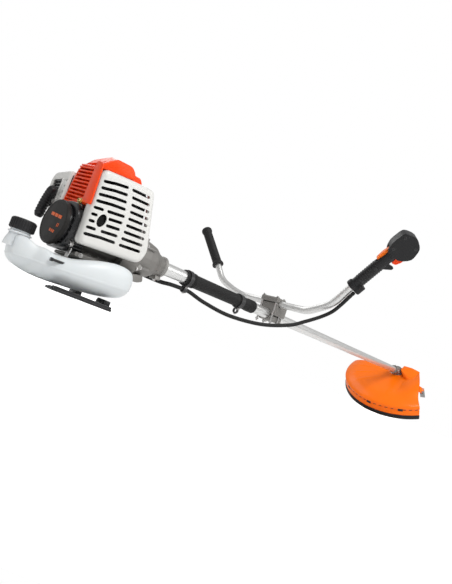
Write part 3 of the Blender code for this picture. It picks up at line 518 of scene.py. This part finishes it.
def hood():
    """The red-orange hood with its slanted louvres, its border strip and the visor over the side cover."""
    corners = [(-249, 44), (-243, 112), (-224, HOOD_TOP), (-190, HOOD_TOP), (-172, 122), (-158, 96), (-150, 56)]
    outline = rounded(corners, 8)
    # The cross-sections along y, each with its height limit and how far it is drawn in
    caps = [(-53.2, 121, 1.2), (-50, 123.5, 0), (-36, 132, 0), (-20, 140.2, 0), (-16, HOOD_TOP, 0)]
    caps += [(30, HOOD_TOP, 0), (36, 139, 0), (47, 130, 0), (50, 126, 1.5)]
    loops = []
    for y, top, step in caps:
        loops.append([(u, y, min(v, top + 0.02 * (u + 200))) for u, v in inset(outline, step)])
    shell = loft(loops)
    band = [(-262, 30), (-239, 30), (-233, 108), (-227, 119), (-240, 127), (-262, 127)]
    shell_low = [(-236, 30), (-230, 96), (-218, 112), (-180, 112), (-166, 92), (-160, 30)]
    cut(shell, prism(band, -45, 43, "XZ"), prism(shell_low, -70, 45, "XZ"))
    parts = [shell]
    turn = Matrix.Rotation(math.atan(0.125), 3, "X")
    for k in range(11):
        z = 47.5 + 6.9 * k
        upright = z < HOOD_BEND
        x = -249.2 + 0.09 * (z - 46) if upright else -243.2 + 0.66 * (z - HOOD_BEND)
        lean = Matrix.Rotation(math.radians(-8 if upright else -30), 3, "Y")
        parts.append(box((13, 90.6, 3.0), (x + 6.3, -1, z), 0.9, lean @ turn))
    parts.append(prism(rounded([(-40, 38), (46, 44), (46, 47), (-40, 42)], 1.5), -250.2, -238, "YZ", 0.5))
    parts.append(prism([(-237, 42), (-231.5, 108), (-229, 108), (-235, 42)], -46, 44, "XZ"))
    piece("hood_shell", merged(*parts), "red_orange", replaces=["cylinder_cover"])
    strip = rounded([(-74.5, 37), (-40, 41), (-42, 113), (-54, 113), (-68, 108)], 4)
    border = prism(strip, -253.0, -250.4, "YZ", 0.9)
    wedge = rounded([(-252.5, 100), (-251, 110), (-240, 121), (-231, 127.5), (-203, 129.5), (-194, 122), (-191, 111),
                     (-200, 108.4)], 4)
    visor = prism(wedge, -67, -51, "XZ", 2.2)
    piece("hood_border", merged(border, visor), "red_orange")


def filter_case():
    """The white air filter case with its louvred window, four breathing holes and latch."""
    outline = rounded([(52, 28), (136, 28), (138, 92), (126, 104), (52, 104)], 10)
    case = tray(outline, -251, -176, "YZ", 6, 2.5)
    ways = [box((30, 42, 41), (-251, 97, 66), 0), box((60, 34, 80), (-187, 52, 62), 0)]
    for z in (84, 72, 61, 50):
        ways.append(turned([(0, -8), (2.4, -8), (2.4, 8), (0, 8)], (-251, 60, z), (1, 0, 0), 16))
    ways.append(box((16, 9, 8), (-238, 88, 105), 0))
    cut(case, *ways)
    rim = rounded([(74.5, 43.5), (119.5, 43.5), (119.5, 88.5), (74.5, 88.5)], 3)
    frame_ring = prism(rim, -252.6, -250.4, "YZ", 0.7)
    cut(frame_ring, prism(rounded([(77, 46), (117, 46), (117, 86), (77, 86)], 2), -260, -240, "YZ"))
    piece("filter_case", merged(case, frame_ring), "white", replaces=["air_filter_housing"])
    bars = []
    for k in range(6):
        bars.append(box((9, 39, 1.6), (-247, 97, 49.5 + 6.6 * k), 0.4, Matrix.Rotation(math.radians(28), 3, "Y")))
    for y in (84, 97, 110):
        bars.append(box((3, 1.8, 39), (-249, y, 66), 0.4))
    piece("filter_louvre", merged(*bars), "gloss_black", replaces=["air_filter_grille"])
    # Painted shade: two thin near-black plates behind the four breathing holes and the latch notch stand in for the
    # shade inside the case.
    backing = merged(box((1, 22, 58), (-245.5, 62, 66), 0.2), box((34, 14, 1), (-232, 88, 98.5), 0.2))
    piece("filter_painted_shade_backing", backing, "soot_and_painted_shade")
    latch = merged(box((3, 16, 8), (-252, 97, 35), 1), box((3, 4, 12), (-253, 97, 37), 0.8))
    piece("filter_latch", latch, "black")


MARK_X = -268.4


def ellipse(y_radius, z_radius, at=(-1.0, -2.0)):
    angles = np.linspace(0, 2 * math.pi, 56, endpoint=False)
    return [(at[0] + y_radius * math.cos(a), at[1] + z_radius * math.sin(a)) for a in angles]


def starter():
    """The stepped recoil starter and its disc, with plain bars where the real one has printing."""
    corners = [(-38, 42), (36, 42), (60, 22), (62, -18), (40, -42), (-40, -42), (-52, -20), (-52, 24)]
    body = prism(rounded(corners, 8), -251, -226, "YZ", 1.6)
    parts = [body]
    step_one = rounded([(-44, 37), (-20, 40), (30, 40), (42, 20), (42, -20), (28, -40), (-40, -38), (-57, -16),
                        (-58, 20)], 8)
    parts.append(prism(step_one, -258.5, -249, "YZ", 2.2, 3))
    parts.append(prism(ellipse(47, 36), -262, -255, "YZ", 1.0))
    for z in (-14, -2, 10):
        parts.append(box((3.4, 7, 3), (-257.6, -51, z), 0.8))
    for y, z in ((-44, 28), (-45, -28), (44, 30), (46, -29)):
        parts.append(turned([(0, 0), (6, 0), (6, 6), (4.5, 7), (0, 7)], (-249, y, z), (-1, 0, 0), 20))
    for z in (-34, -28):
        parts.append(box((22, 3, 2), (-239, -48, z), 0.5))
    piece("starter_body", merged(*parts), "gloss_black", replaces=["starter_housing"])
    rings = [(-262.5, 3.0), (-262.5, 0.0), (-266.5, 0.0), (-268.4, 1.0), (-269, 2.6), (-269, 4.2), (-268.3, 5.0),
             (-268.3, 7.0)]
    outline = ellipse(51.5, 39.5, at=(0.5, -1.5))
    disc = loft([[(x, u, v) for u, v in inset(outline, step)] for x, step in rings])
    skirt = prism(ellipse(46, 35), -263, -251.6, "YZ", 0.6)
    rope_way = turned([(0, 22), (3.4, 22), (3.4, 70), (0, 70)], (-260, 0, 23), (0, 1, 0.15), 16)
    cover = merged(cut(disc, rope_way), skirt)
    piece("starter_disc", cover, "dark_grey", replaces=["starter_cover"])
    marks = []
    tilt = Matrix.Rotation(math.radians(8), 3, "X")
    for y, width in ((10.5, 15), (-6, 13), (-22, 14)):
        marks.append(box((0.5, width, 5.6), (MARK_X, y, 9.5 + 0.14 * y), 0.15, tilt))
    for y in (-22, -27.5):
        marks.append(box((0.5, 1.8, 6.4), (MARK_X, y, -8), 0.15, tilt))
    for y, width in ((-1, 6), (-9, 5), (-16.5, 5)):
        marks.append(box((0.5, width, 4.8), (MARK_X, y, -17 + 0.14 * y), 0.15, tilt))
    piece("cover_marks", merged(*marks), "marks")


def pull_grip():
    """The bowed hand grip with eleven finger ribs."""
    middle = Vector((-263.0, 87.0, 36.0))
    along, bend = Vector((0, -0.40, 0.916)), Vector((0, 0.916, 0.40))
    spine = [middle + along * 32 * s - bend * 6 * s * s for s in np.linspace(-1, 1, 61)]

    def radius(t):
        end = min(t, 1 - t)
        base = 10.0 * min(1.0, 0.55 + 0.45 * math.sqrt(min(1.0, end * 9)))
        ribs = 0.45 * math.sin(t * math.pi * 2 * 11) if 0.1 < t < 0.9 else 0
        return base + ribs - 0.4

    piece("pull_grip", sweep(spine, radius, 28, 0.86), "black", "starter_handle", ["starter_grip"])


# ---------------------------------------------------------------- tank and stand

TANK_SECTIONS = [
    # x, half width, shoulder top, shoulder bottom, middle top, saddle top, middle bottom
    (-325, 18, -45, -80, -44, -44, -82),
    (-308, 28, -42, -90, -41, -41, -92),
    (-284, 42, -48, -98, -50, -50, -99),
    (-252, 64, -54, -100, -58, -57, -101),
    (-216, 78, -36, -100, -58, -55, -101),
    (-172, 82, -26, -98, -60, -54, -99),
    (-136, 73, -31, -93, -64, -55, -95),
    (-124, 52, -46, -84, -66, -60, -88),
]
CAP_X = -308.0


def tank():
    """The moulded tank, pinched at its waist and fold, with the seam all round, and the ribbed cap on its neck."""
    loops = []
    for x, half, side_top, side_bottom, top, saddle, bottom in TANK_SECTIONS:
        points = [(0, top), (half * 0.5, saddle), (half * 0.76, side_top), (half, side_top - 12)]
        points += [(half, side_bottom + 14), (half * 0.62, side_bottom), (0, bottom)]
        points += [(-y, z) for y, z in points[-2:0:-1]]
        aside = -8 * min(1.0, 0.15 + (x + 325) / 55)
        loops.append([(x + 4, y + aside, z) for y, z in points])
    shell = loft(loops)
    soft = shell.modifiers.new("soft", "SUBSURF")
    soft.levels = 4
    applied(shell)
    mesh = shell.data
    normals = [vertex.normal.copy() for vertex in mesh.vertices]
    for vertex, outwards in zip(mesh.vertices, normals):
        p = vertex.co.copy()
        waist = 3.2 * math.exp(-((p.x + 291 - 0.12 * (p.z + 70)) / 8.0) ** 2)
        fold = 1.4 * math.exp(-((p.x + 268 - 0.3 * (p.z + 70)) / 5.0) ** 2)
        seam = 0.7 * math.exp(-((p.z + 74 - 0.02 * (p.x + 230)) / 1.1) ** 2)
        sway = 0.5 * noise.noise(p * 0.02)
        vertex.co = p + outwards * (seam + sway - waist * min(1, abs(p.y) / 20) - fold * min(1, abs(p.y) / 30) - 0.6)
    flare = [(0, -64), (19, -64), (18, -54), (15.8, -47), (15, -42)]
    neck = turned(flare + [(15, -36), (12, -36), (12, -50), (0, -50)], (CAP_X, 0, 0), UP, 40)
    collar = turned([(14, -43), (17.5, -43), (17.5, -40.5), (14, -39.5)], (CAP_X, 0, 0), UP, 40, ring=True)
    piece("tank_shell", merged(shell, neck, collar), "tank", replaces=["fuel_tank"], angle=70)
    strap = merged(box((25, 5, 4.2), (-259, -61.5, -64), 1), box((4, 7, 6), (-271, -60, -64), 1))
    piece("tank_strap", strap, "gloss_black")
    bars = []
    for k in range(30):
        a = 2 * math.pi * k / 30
        at = (CAP_X + 18.2 * math.cos(a), 18.2 * math.sin(a), -28)
        bars.append(box((1.7, 1.9, 15), at, 0.5, Matrix.Rotation(a, 3, "Z")))
    cap = [(0, -18.4), (12, -18.4), (12.6, -19), (15.6, -18.2), (17.6, -19.4), (18.1, -21), (18.1, -36.4)]
    cap += [(16, -37), (15.6, -37), (15.6, -30), (0, -30)]
    rib = box((20, 4, 1.6), (CAP_X, 0, -18.6), 0.5)
    piece("tank_cap", merged(turned(cap, (CAP_X, 0, 0), UP, 48), rib, *bars), "black", "fuel_cap", ["fuel_cap"])


def stand():
    """The pressed stand: a plate with two windows, rails, feet and two legs up to the engine base."""
    outline = rounded([(-50, -84), (60, -84), (60, 84), (10, 84), (-40, -44), (-50, -52)], 8)
    plate = prism(outline, 0, 4, "XY", 1.0)
    near = rounded([(-34, -60), (36, -60), (36, -10), (-16, -10)], 7)
    far = rounded([(-7, 8), (36, 8), (36, 60), (14, 60)], 7)
    cut(plate, prism(near, -5, 9), prism(far, -5, 9))
    parts = [plate]
    parts.append(box((104, 3, 7.6), (4, -82.2, 4), 1.0))
    parts.append(box((40, 2.4, 2.4), (32, 70, 4.6), 0.8))
    for x, y in ((-42, -66), (50, -76), (50, 76), (20, 72)):
        parts.append(turned([(0, 0), (4, 0), (4, 1.4), (0, 1.8)], (x, y, 3.6), UP, 20))
    for side in (-1, 1):
        leg = [(46, 0.5), (60, 0.5), (58, 9), (57.6, 15.8), (47, 15.8), (45, 9)]
        parts.append(prism(rounded(leg, 2.5, 3), side * 56 - 15, side * 56 + 15, "XZ", 1.2))
    piece("stand_frame", merged(*parts), "gloss_black", replaces=["tank_stand"], place=ROW)


# ---------------------------------------------------------------- castings


def castings():
    """The die castings with softened edges, their ribs and bosses, and the engine's visible screws."""
    for node, voxel, rounds in (("crankcase", 1.2, 5), ("clutch_housing", 1.0, 5), ("fan_housing", 1.0, 3),
                                ("engine_base", 1.0, 4), ("gearbox_housing", 0.8, 4), ("bracket_body", 0.9, 5),
                                ("bracket_top_cap", 0.8, 5), ("bracket_tube_cap", 0.8, 5)):
        piece(node + "_casting", softened(node, voxel, rounds), "cast", replaces=[node], place=None, angle=50)
    parts = []
    for k in range(6):
        a = math.radians(60 * k + 30)
        out = Vector((0, math.cos(a), math.sin(a)))
        turn = Matrix.Rotation(a - math.pi / 2, 3, "X")
        parts.append(box((30, 3.2, 12), Vector((-96, 0, 0)) + out * 37, 1.2, turn))
        boss = [(0, 0), (6.2, 0), (6.2, 8), (5, 9), (0, 9)]
        parts.append(turned(boss, Vector((-114, 0, 0)) + out * 44, (1, 0, 0), 20))
    parts.append(turned([(20.6, -30), (22.4, -31), (22.4, -36), (20.6, -38)], (0, 0, 0), (1, 0, 0), 40, ring=True))
    lug = rounded([(-12, -29), (12, -29), (9, -19), (-9, -19)], 3)
    parts.append(prism(lug, -46, -32, "YZ", 1.5))
    foot = rounded([(-112, -37), (-84, -33), (-80, -45), (-92, -50), (-112, -50)], 4)
    parts.append(prism(foot, -26, 26, "XZ", 2))
    skirt = rounded([(-236, -38), (-118, -38), (-112, -46), (-118, -50), (-236, -46)], 3)
    parts.append(prism(skirt, -50, -33, "XZ", 1.5))
    piece("engine_ribs", merged(*parts), "cast")
    screws = []
    for k in range(6):
        a = math.radians(60 * k + 30)
        screws.append(bolt((-105, 44 * math.cos(a), 44 * math.sin(a)), (1, 0, 0), 3.2, 3.6, hexagon=False))
    screws.append(bolt((-39, 0, -29), (0, 0, -1), 3, 3.4))
    for x in (-226, -130):
        screws.append(bolt((x, -50.5, -42), (0, -1, 0), 2.6, 3))
    screws.append(bolt((-247, -50, -30), (-1, -0.3, 0), 3.8, 4.2))
    screws.append(bolt((-252.6, -43, 31), (-1, -0.3, 0.1), 3.4, 4.0))
    for z in (24, -28):
        screws.append(bolt((-124, -58, z), (0.9, -0.3, 0), 2.8, 3.2, hexagon=False))
    tab = prism(rounded([(-56, -36), (-44, -36), (-38, -52), (-48, -58)], 4), -246.5, -244.8, "YZ", 0.4)
    piece("engine_screws", merged(tab, *screws), "steel")
    piece("hood_screw", bolt((-253, -36.5, 42), (-1, -0.2, 0.1), 3.6, 4.0, hexagon=False), "brass")


def bracket_bolts():
    """The four long bolts that clamp the bar, with their nuts, and the two that clamp the tube."""
    parts = []
    for x in (BAR_X - 16, BAR_X + 16):
        for y in (-24, 24):
            parts.append(bolt((x, y, 50.2), (0, 0, 1), 3.4, 4.4, hexagon=False))
            parts.append(turned([(0, -26), (2.5, -26), (2.5, 54), (0, 54)], (x, y, 0), UP, 16))
            parts.append(turned([(0, -22), (4.6, -22), (4.6, -18), (0, -18)], (x, y, 0), UP, 6))
    for y in (-24, 24):
        parts.append(bolt((392, y, -17.5), (0, 0, -1), 3.4, 4.0))
    piece("bracket_bolts", merged(*parts), "steel")


# ---------------------------------------------------------------- tube, bar and cable


def shaft():
    """The main tube and its rubber sleeve, grooved at both ends."""
    bore = TUBE_RADIUS - 1.5
    wall = [(bore, TUBE_START), (TUBE_RADIUS, TUBE_START + 0.6), (TUBE_RADIUS, TUBE_END - 0.6), (bore, TUBE_END)]
    piece("main_tube", turned(wall, (0, 0, 0), (1, 0, 0), 48, ring=True), "alloy", replaces=["outer_tube"])
    profile = [(14.3, 287), (16.2, 287), (17.0, 286)]
    for k in range(5):
        x = 284 - 5 * k
        profile += [(17.0, x), (16.9, x - 1.8), (15.7, x - 2.3), (15.7, x - 2.8), (16.9, x - 3.2)]
    profile += [(15.9, 258), (15.6, 66)]
    for k in range(7):
        x = 63 - 4.2 * k
        profile += [(17.2, x), (17.4, x - 1.6), (15.9, x - 2.1), (15.9, x - 2.5), (17.2, x - 3.0)]
    profile += [(17.4, 33), (16.8, 32), (14.3, 32)]
    sleeve = turned(profile, (0, 0, 0), (1, 0, 0), 48, ring=True)
    piece("sleeve_ribbed", sleeve, "rubber", replaces=["tube_sleeve"], angle=45)
    screws = [bolt((45, 0, -32.6), (0, 0, -1), 2.4, 2.6, hexagon=False)]
    screws.append(bolt((229, 0, -33), (0, 0, -1), 2.4, 2.6, hexagon=False))
    for x in (45, 229):
        screws.append(bolt((x, -7, -19.5), (0, -1, 0), 2.6, 3.0, hexagon=False))
    piece("clamp_screws", merged(*screws), "steel")


def bar_route(side, end_z):
    bend = [(BAR_X, side * 84, BAR_Z), (BAR_X - 5, side * 118, BAR_Z + 1), (BAR_X - 18, side * 154, 46)]
    return bend + [arm_point(side, z) for z in (66, 105, end_z)]


def handlebar():
    route = bar_route(-1, 170)[::-1] + [(BAR_X, y, BAR_Z) for y in (-42, 0, 42)] + bar_route(1, 190)
    piece("bar_tube", sweep(smooth_route(route, 160), BAR_RADIUS, 32), "bar_alloy", replaces=["handlebar"])
    profile = [(9.8, 0), (17.4, 0), (18, 0.8), (18, 5), (17, 8), (15, 11), (14.3, 14)]
    for k in range(17):
        z = 18 + 6.2 * k
        profile += [(14.5, z), (14.5, z + 3.6), (14.0, z + 4.1), (14.0, z + 5.4)]
    profile += [(14.4, 125), (15.2, 129), (16.6, 133), (17, 137), (16.6, 141), (14.5, 144.5), (11, 146), (0, 146)]
    profile += [(0, 136), (9.8, 136)]
    piece("grip_sleeve", turned(profile, (0, 0, 0), UP, 40), "rubber", replaces=["left_grip"], place=GRIP)


CABLE_ROUTE = [
    (331.4, -244.1, 99.6), (333.2, -236, 89.8), (339, -219, 69), (341, -200, 46), (335, -178, 26), (307, -156, 1),
    (275, -138, -20), (210, -108, -41), (142, -66, -47), (92, -28, -38), (66, -4, -27.6), (54, 0, -25.4),
    (34, 0, -25.4), (10, 5, -26), (-16, 20, -28), (-58, 52, -22), (-104, 66, 0), (-134, 68, 34),
    (-141, 72, 64), (-147, 72.5, 81), (-158, 72, 85.2),
]


def cable():
    """The throttle cable along the CAD's route, with a grooved strain relief at the handle."""
    route = smooth_route(CABLE_ROUTE, 320)

    def radius(t):
        if t < 0.045:
            return 4.6 + (0.0 if int(t * 450) % 2 else -0.5)
        return 4.5 + 0.06 * math.sin(t * 900)

    piece("cable_outer", sweep(route, radius, 16), "rubber", replaces=["throttle_cable"])


# ---------------------------------------------------------------- throttle handle


def throttle():
    """The throttle handle with its trigger, lockout, stop switch, ribs and screws."""
    piece("handle_body", softened("throttle_handle", 0.8, 30, 0.5), "black", replaces=["throttle_handle"], place=None,
          angle=60)
    piece("trigger_blade", softened("throttle_trigger", 0.45, 5), "red_orange", "throttle_trigger",
          ["throttle_trigger"], None, 60)
    piece("lockout_blade", softened("trigger_lockout", 0.45, 5), "orange", "trigger_lockout", ["trigger_lockout"],
          None, 60)
    rocker = merged(box((5, 10, 14), (-21.8, 4, 148), 1.6), box((1, 6, 1.2), (-24.2, 4, 148), 0.3),
                    box((1, 6, 1.2), (-24.2, 4, 151), 0.3), box((1, 6, 1.2), (-24.2, 4, 145), 0.3))
    piece("switch_rocker", rocker, "orange", "stop_switch", ["stop_switch"], HANDLE)
    screws = []
    for y, z in ((-12, 128), (-14, 160), (20, 158), (0, 30), (0, 70)):
        x = 19 if z > 100 else 13.6
        screws.append(bolt((x, y, z), (1, 0, 0), 2.4, 1.6, hexagon=False))
    piece("handle_screws", merged(*screws), "gloss_black", place=HANDLE)
    ribs = []
    for k in range(9):
        ribs.append(turned([(14.0, 0), (14.7, 0.5), (14.7, 1.6), (14.0, 2.1)], (0, 0, 26 + 6 * k), UP, 36, ring=True))
    piece("handle_ribs", merged(*ribs), "black", place=HANDLE)


# ---------------------------------------------------------------- guard and cutting head

GUARD_RADIUS, RIM_Z = 233.0, -52.0
GUARD_FIRST, GUARD_LAST = -46.0, 96.0
TABS = (40, 6, -27)
DASHES = [angle for angle in range(-43, 96, 6) if min(abs(angle - tab) for tab in TABS) > 3.4]
CREASES = (0.6, 0.74, 0.88)


def round_rim(angle):
    """The turn that carries +X to the rim at the angle, in degrees from the guard's middle."""
    return Matrix.Rotation(math.radians(180 - angle), 3, "Z")


def guard_row(t):
    """Control points across the dome, from its inner edge to its rim."""
    rim_angle = math.radians(GUARD_FIRST + (GUARD_LAST - GUARD_FIRST) * t)
    inner_angle = math.radians(-104 + 208 * t)
    inner_radius = 46 + 51 * max(0, 1 - 4 * t)
    inner = Vector((-inner_radius * 0.7 * math.cos(inner_angle), inner_radius * math.sin(inner_angle), 0))
    inner.z = 8 * (2 * t - 1) ** 2 - 10 + 20 * max(0, 1 - 5 * t)
    rim = Vector((-GUARD_RADIUS * math.cos(rim_angle), GUARD_RADIUS * math.sin(rim_angle), 0))
    shoulder = inner.lerp(rim * 0.93, 0.86)
    shoulder.z = -16
    middle = inner.lerp(rim, 0.45)
    middle.z = inner.z - 3
    return [inner, middle, shoulder, Vector((rim.x, rim.y, -36)), Vector((rim.x, rim.y, RIM_Z - 1.2))]


def guard():
    """The dome with its creases and clips, the hump over the gearbox, the lower band and the rubber lip."""
    rows = []
    count = 85
    for i in range(count):
        t = i / (count - 1)
        row = guard_row(t)
        line = smooth_route(row, 30)
        crease = sum(3.0 * math.exp(-((t - at) / 0.007) ** 2) for at in CREASES)
        for k, p in enumerate(line):
            if 3 < k < 20:
                p.z += crease * math.sin(math.pi * (k - 3) / 17)
        rows.append(line)
    bm = bmesh.new()
    grid = [[bm.verts.new(p) for p in row] for row in rows]
    for near, far in zip(grid, grid[1:]):
        for a, b, c, d in zip(near, near[1:], far[1:], far):
            bm.faces.new((a, b, c, d))
    dome = object_from(bm)
    wall = dome.modifiers.new("wall", "SOLIDIFY")
    wall.thickness = 3
    wall.offset = 0
    applied(dome)
    cutters = []
    for angle in DASHES:
        turn = round_rim(angle)
        cutters.append(box((14, 12, 3.4), turn @ Vector((GUARD_RADIUS, 0, -50.5)), 0, turn))
    for tab in TABS:
        turn = round_rim(tab)
        cutters.append(box((14, 20, 12), turn @ Vector((GUARD_RADIUS, 0, -52)), 0, turn))
    cut(dome, *cutters)
    block = hull([(18, -97, 20), (22, -60, 26), (24, -22, 24), (-14, -20, 21), (-34, -44, -4), (-58, -92, -8),
                  (-48, -112, 0), (-8, -97, -6), (14, -40, -6), (10, -24, 6)], 5)
    collar = turned([(26, -9), (60, -15), (60, -11), (26, -5)], (-6, 0, 0), UP, 40, ring=True)
    piece("guard_dome", merged(dome, block, collar), "orange", replaces=["guard"], place=HEAD, angle=50)
    clips = []
    for tab in TABS:
        turn = round_rim(tab)
        clips.append(box((3, 20, 13), turn @ Vector((GUARD_RADIUS + 1.6, 0, -52)), 0.8, turn))
        clips.append(box((3, 8, 7), turn @ Vector((GUARD_RADIUS + 2.4, 0, -52)), 0.8, turn))
    for angle in DASHES:
        turn = round_rim(angle)
        clips.append(box((2.6, 11.6, 3.2), turn @ Vector((GUARD_RADIUS + 1.1, 0, -50.5)), 0.4, turn))
    piece("guard_clips", merged(*clips), "black", place=HEAD)
    arcs = np.radians(180 - np.linspace(GUARD_FIRST, GUARD_LAST, 90))

    def band(profile):
        return loft([[(r * math.cos(a), r * math.sin(a), z) for r, z in profile] for a in arcs])

    lower = [(235, -54.8), (235.4, -57), (235.4, -80), (235, -84), (232, -84), (232, -54.2), (234, -54)]
    piece("guard_band", band(lower), "orange", replaces=["guard_extension"], place=HEAD)
    lip = [(235.2, -77.5), (237.0, -78), (237.8, -80), (237.8, -92), (236, -97), (231.4, -96.6), (230, -92),
           (230, -84.3), (235.2, -84.3)]
    piece("guard_lip", band(lip), "rubber", replaces=["guard_skirt"], place=HEAD)


def head_details():
    """The line head, the bump knob, the gearbox screws and the line cutter on its lug."""
    profile = [(5.3, -37), (26, -37), (28, -39), (48, -45.4), (52, -48), (54, -52), (54, -58)]
    profile += [(52.6, -59), (52.6, -64), (54, -65), (54, -70), (50, -76), (24, -80), (24, -66), (5.3, -66)]
    spool = turned(profile, (0, 0, 0), UP, 48, ring=True)
    ribs = []
    for k in range(12):
        turn = Matrix.Rotation(math.radians(30 * k), 3, "Z")
        lean = turn @ Matrix.Rotation(math.radians(18), 3, "Y")
        ribs.append(box((22, 3, 3), turn @ Vector((38, 0, -42)), 0.8, lean))
    for side in (-1, 1):
        ribs.append(turned([(3, 0), (5, 0), (5, 3), (3, 3)], (0, side * 52.4, -62), (0, side, 0), 20, ring=True))
    piece("spool_shell", merged(spool, *ribs), "black", "line_head", ["spool_housing"], HEAD)
    knob = turned([(0, -74), (20, -74), (20, -84), (18.5, -88), (14, -92.4), (8, -94), (0, -94)], (0, 0, 0), UP, 40)
    nubs = []
    for k in range(6):
        turn = Matrix.Rotation(math.radians(60 * k), 3, "Z")
        nubs.append(box((4, 3, 8), turn @ Vector((18.6, 0, -81)), 1, turn))
    piece("knob_shell", merged(knob, *nubs), "orange", "bump_knob", ["bump_knob"], HEAD)
    screws = [bolt((1412, 0, 18.8), (0, 0, 1), 3, 3.6, hexagon=False)]
    screws.append(bolt((1412, -18.6, 0), (0, -1, 0), 3, 3.6, hexagon=False))
    screws.append(bolt((1424, -19, -6), (0, -1, 0), 2.6, 3, hexagon=False))
    piece("gearbox_screws", merged(*screws), "steel")
    outline = rounded([(-118, -172), (-54, -144), (-61, -127), (-66, -129), (-125, -155)], 2, 3)
    knife = prism(outline, -13.2, -10.8, "XY", 0.5)
    lug = hull([(-100, -134, -8), (-62, -122, -4), (-62, -150, -10.4), (-100, -152, -10.4), (-98, -140, -2),
                (-66, -128, 2)], 1.5)
    piece("knife_lug", lug, "orange", place=HEAD)
    bolts = [bolt((x, y, -9), (0, 0, 1), 3.4, 4) for x, y in ((-72, -144), (-92, -150))]
    piece("knife_bolts", merged(*bolts), "steel", place=HEAD)
    piece("knife_plate", knife, "steel", replaces=["line_cutter"], place=HEAD)


# ---------------------------------------------------------------- the rest of the CAD, light and floor


def carried_over():
    """A finish for each CAD node that stays in view."""
    finish = {
        # The muffler is near-black: heat blackening, and painted shade for what shows of it through the cover's
        # slots.
        "cable_clamp": "gloss_black", "harness_clamp": "gloss_black", "muffler": "soot_and_painted_shade",
        "air_filter_foam": "foam", "carburettor": "alloy", "carburettor_lever": "steel", "primer_bulb": "rubber",
        "choke_lever": "black", "starter_pulley": "black", "starter_rope": "rubber", "shaft_bush": "black",
        "cutting_line_left": "nylon", "cutting_line_right": "nylon", "cylinder": "cast", "flywheel_fan": "cast",
        "crank_half_front": "steel", "crank_half_rear": "steel", "connecting_rod": "steel", "piston": "alloy",
    }
    for name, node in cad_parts.items():
        if node.hide_render:
            continue
        mat = MATS[finish.get(name, "steel")]
        node.data.materials.clear()
        node.data.materials.append(mat)


def light(name, at, size, power, aim=(0.1, 0, 0.15)):
    data = bpy.data.lights.new(name, "AREA")
    data.shape = "RECTANGLE"
    data.size, data.size_y = size
    data.energy = power
    lamp = bpy.data.objects.new(name, data)
    lamp.location = at
    lamp.rotation_euler = (Vector(aim) - Vector(at)).to_track_quat("-Z", "Y").to_euler()
    bpy.context.scene.collection.objects.link(lamp)


FLOOR_GLOW, WORLD_LIGHT = 0.72, 0.5


def studio():
    """A floor and sky that look white to the camera and give the object only soft light."""
    bm = bmesh.new()
    bmesh.ops.create_grid(bm, x_segments=8, y_segments=8, size=30)
    floor = object_from(bm)
    floor.name = "floor"
    floor.location = (0, 0, -0.0005)
    paint = material("pale_floor", (0.93, 0.93, 0.93), 0.8, grain=300, bump=0.01, vary=0.01, rough_vary=0.05)
    shader = paint.node_tree.nodes["Principled BSDF"]
    shader.inputs["Emission Color"].default_value = (1, 1, 1, 1)
    tree = paint.node_tree
    glow = tree.nodes.new("ShaderNodeMath")
    glow.operation = "MULTIPLY"
    glow.inputs[1].default_value = FLOOR_GLOW
    tree.links.new(tree.nodes.new("ShaderNodeLightPath").outputs["Is Camera Ray"], glow.inputs[0])
    tree.links.new(glow.outputs["Value"], shader.inputs["Emission Strength"])
    floor.data.materials.append(paint)
    light("key", (-0.2, -2.0, 2.6), (1.6, 1.4), 62)
    light("fill", (1.8, -2.2, 1.6), (2.2, 1.6), 22, (0.9, 0, 0.15))
    light("rear_rim", (0.4, 2.2, 2.0), (2.6, 1.2), 20, (0.6, 0, 0.1))
    world = bpy.data.worlds.new("studio")
    world.use_nodes = True
    tree = world.node_tree
    soft = tree.nodes["Background"]
    soft.inputs["Color"].default_value = (1, 1, 1, 1)
    soft.inputs["Strength"].default_value = WORLD_LIGHT
    seen = tree.nodes.new("ShaderNodeBackground")
    seen.inputs["Strength"].default_value = 1.0
    seen.inputs["Color"].default_value = (1, 1, 1, 1)
    rays = tree.nodes.new("ShaderNodeLightPath")
    choice = tree.nodes.new("ShaderNodeMixShader")
    tree.links.new(rays.outputs["Is Camera Ray"], choice.inputs["Fac"])
    tree.links.new(soft.outputs["Background"], choice.inputs[1])
    tree.links.new(seen.outputs["Background"], choice.inputs[2])
    tree.links.new(choice.outputs["Shader"], tree.nodes["World Output"].inputs["Surface"])
    bpy.context.scene.world = world
    view = bpy.context.scene.view_settings
    view.view_transform = "Standard"
    view.look = "None"
    view.exposure = 0.0


cable()
side_cover()
slot_backing()
hood()
filter_case()
starter()
pull_grip()
tank()
stand()
castings()
bracket_bolts()
shaft()
handlebar()
throttle()
guard()
head_details()
carried_over()
studio()
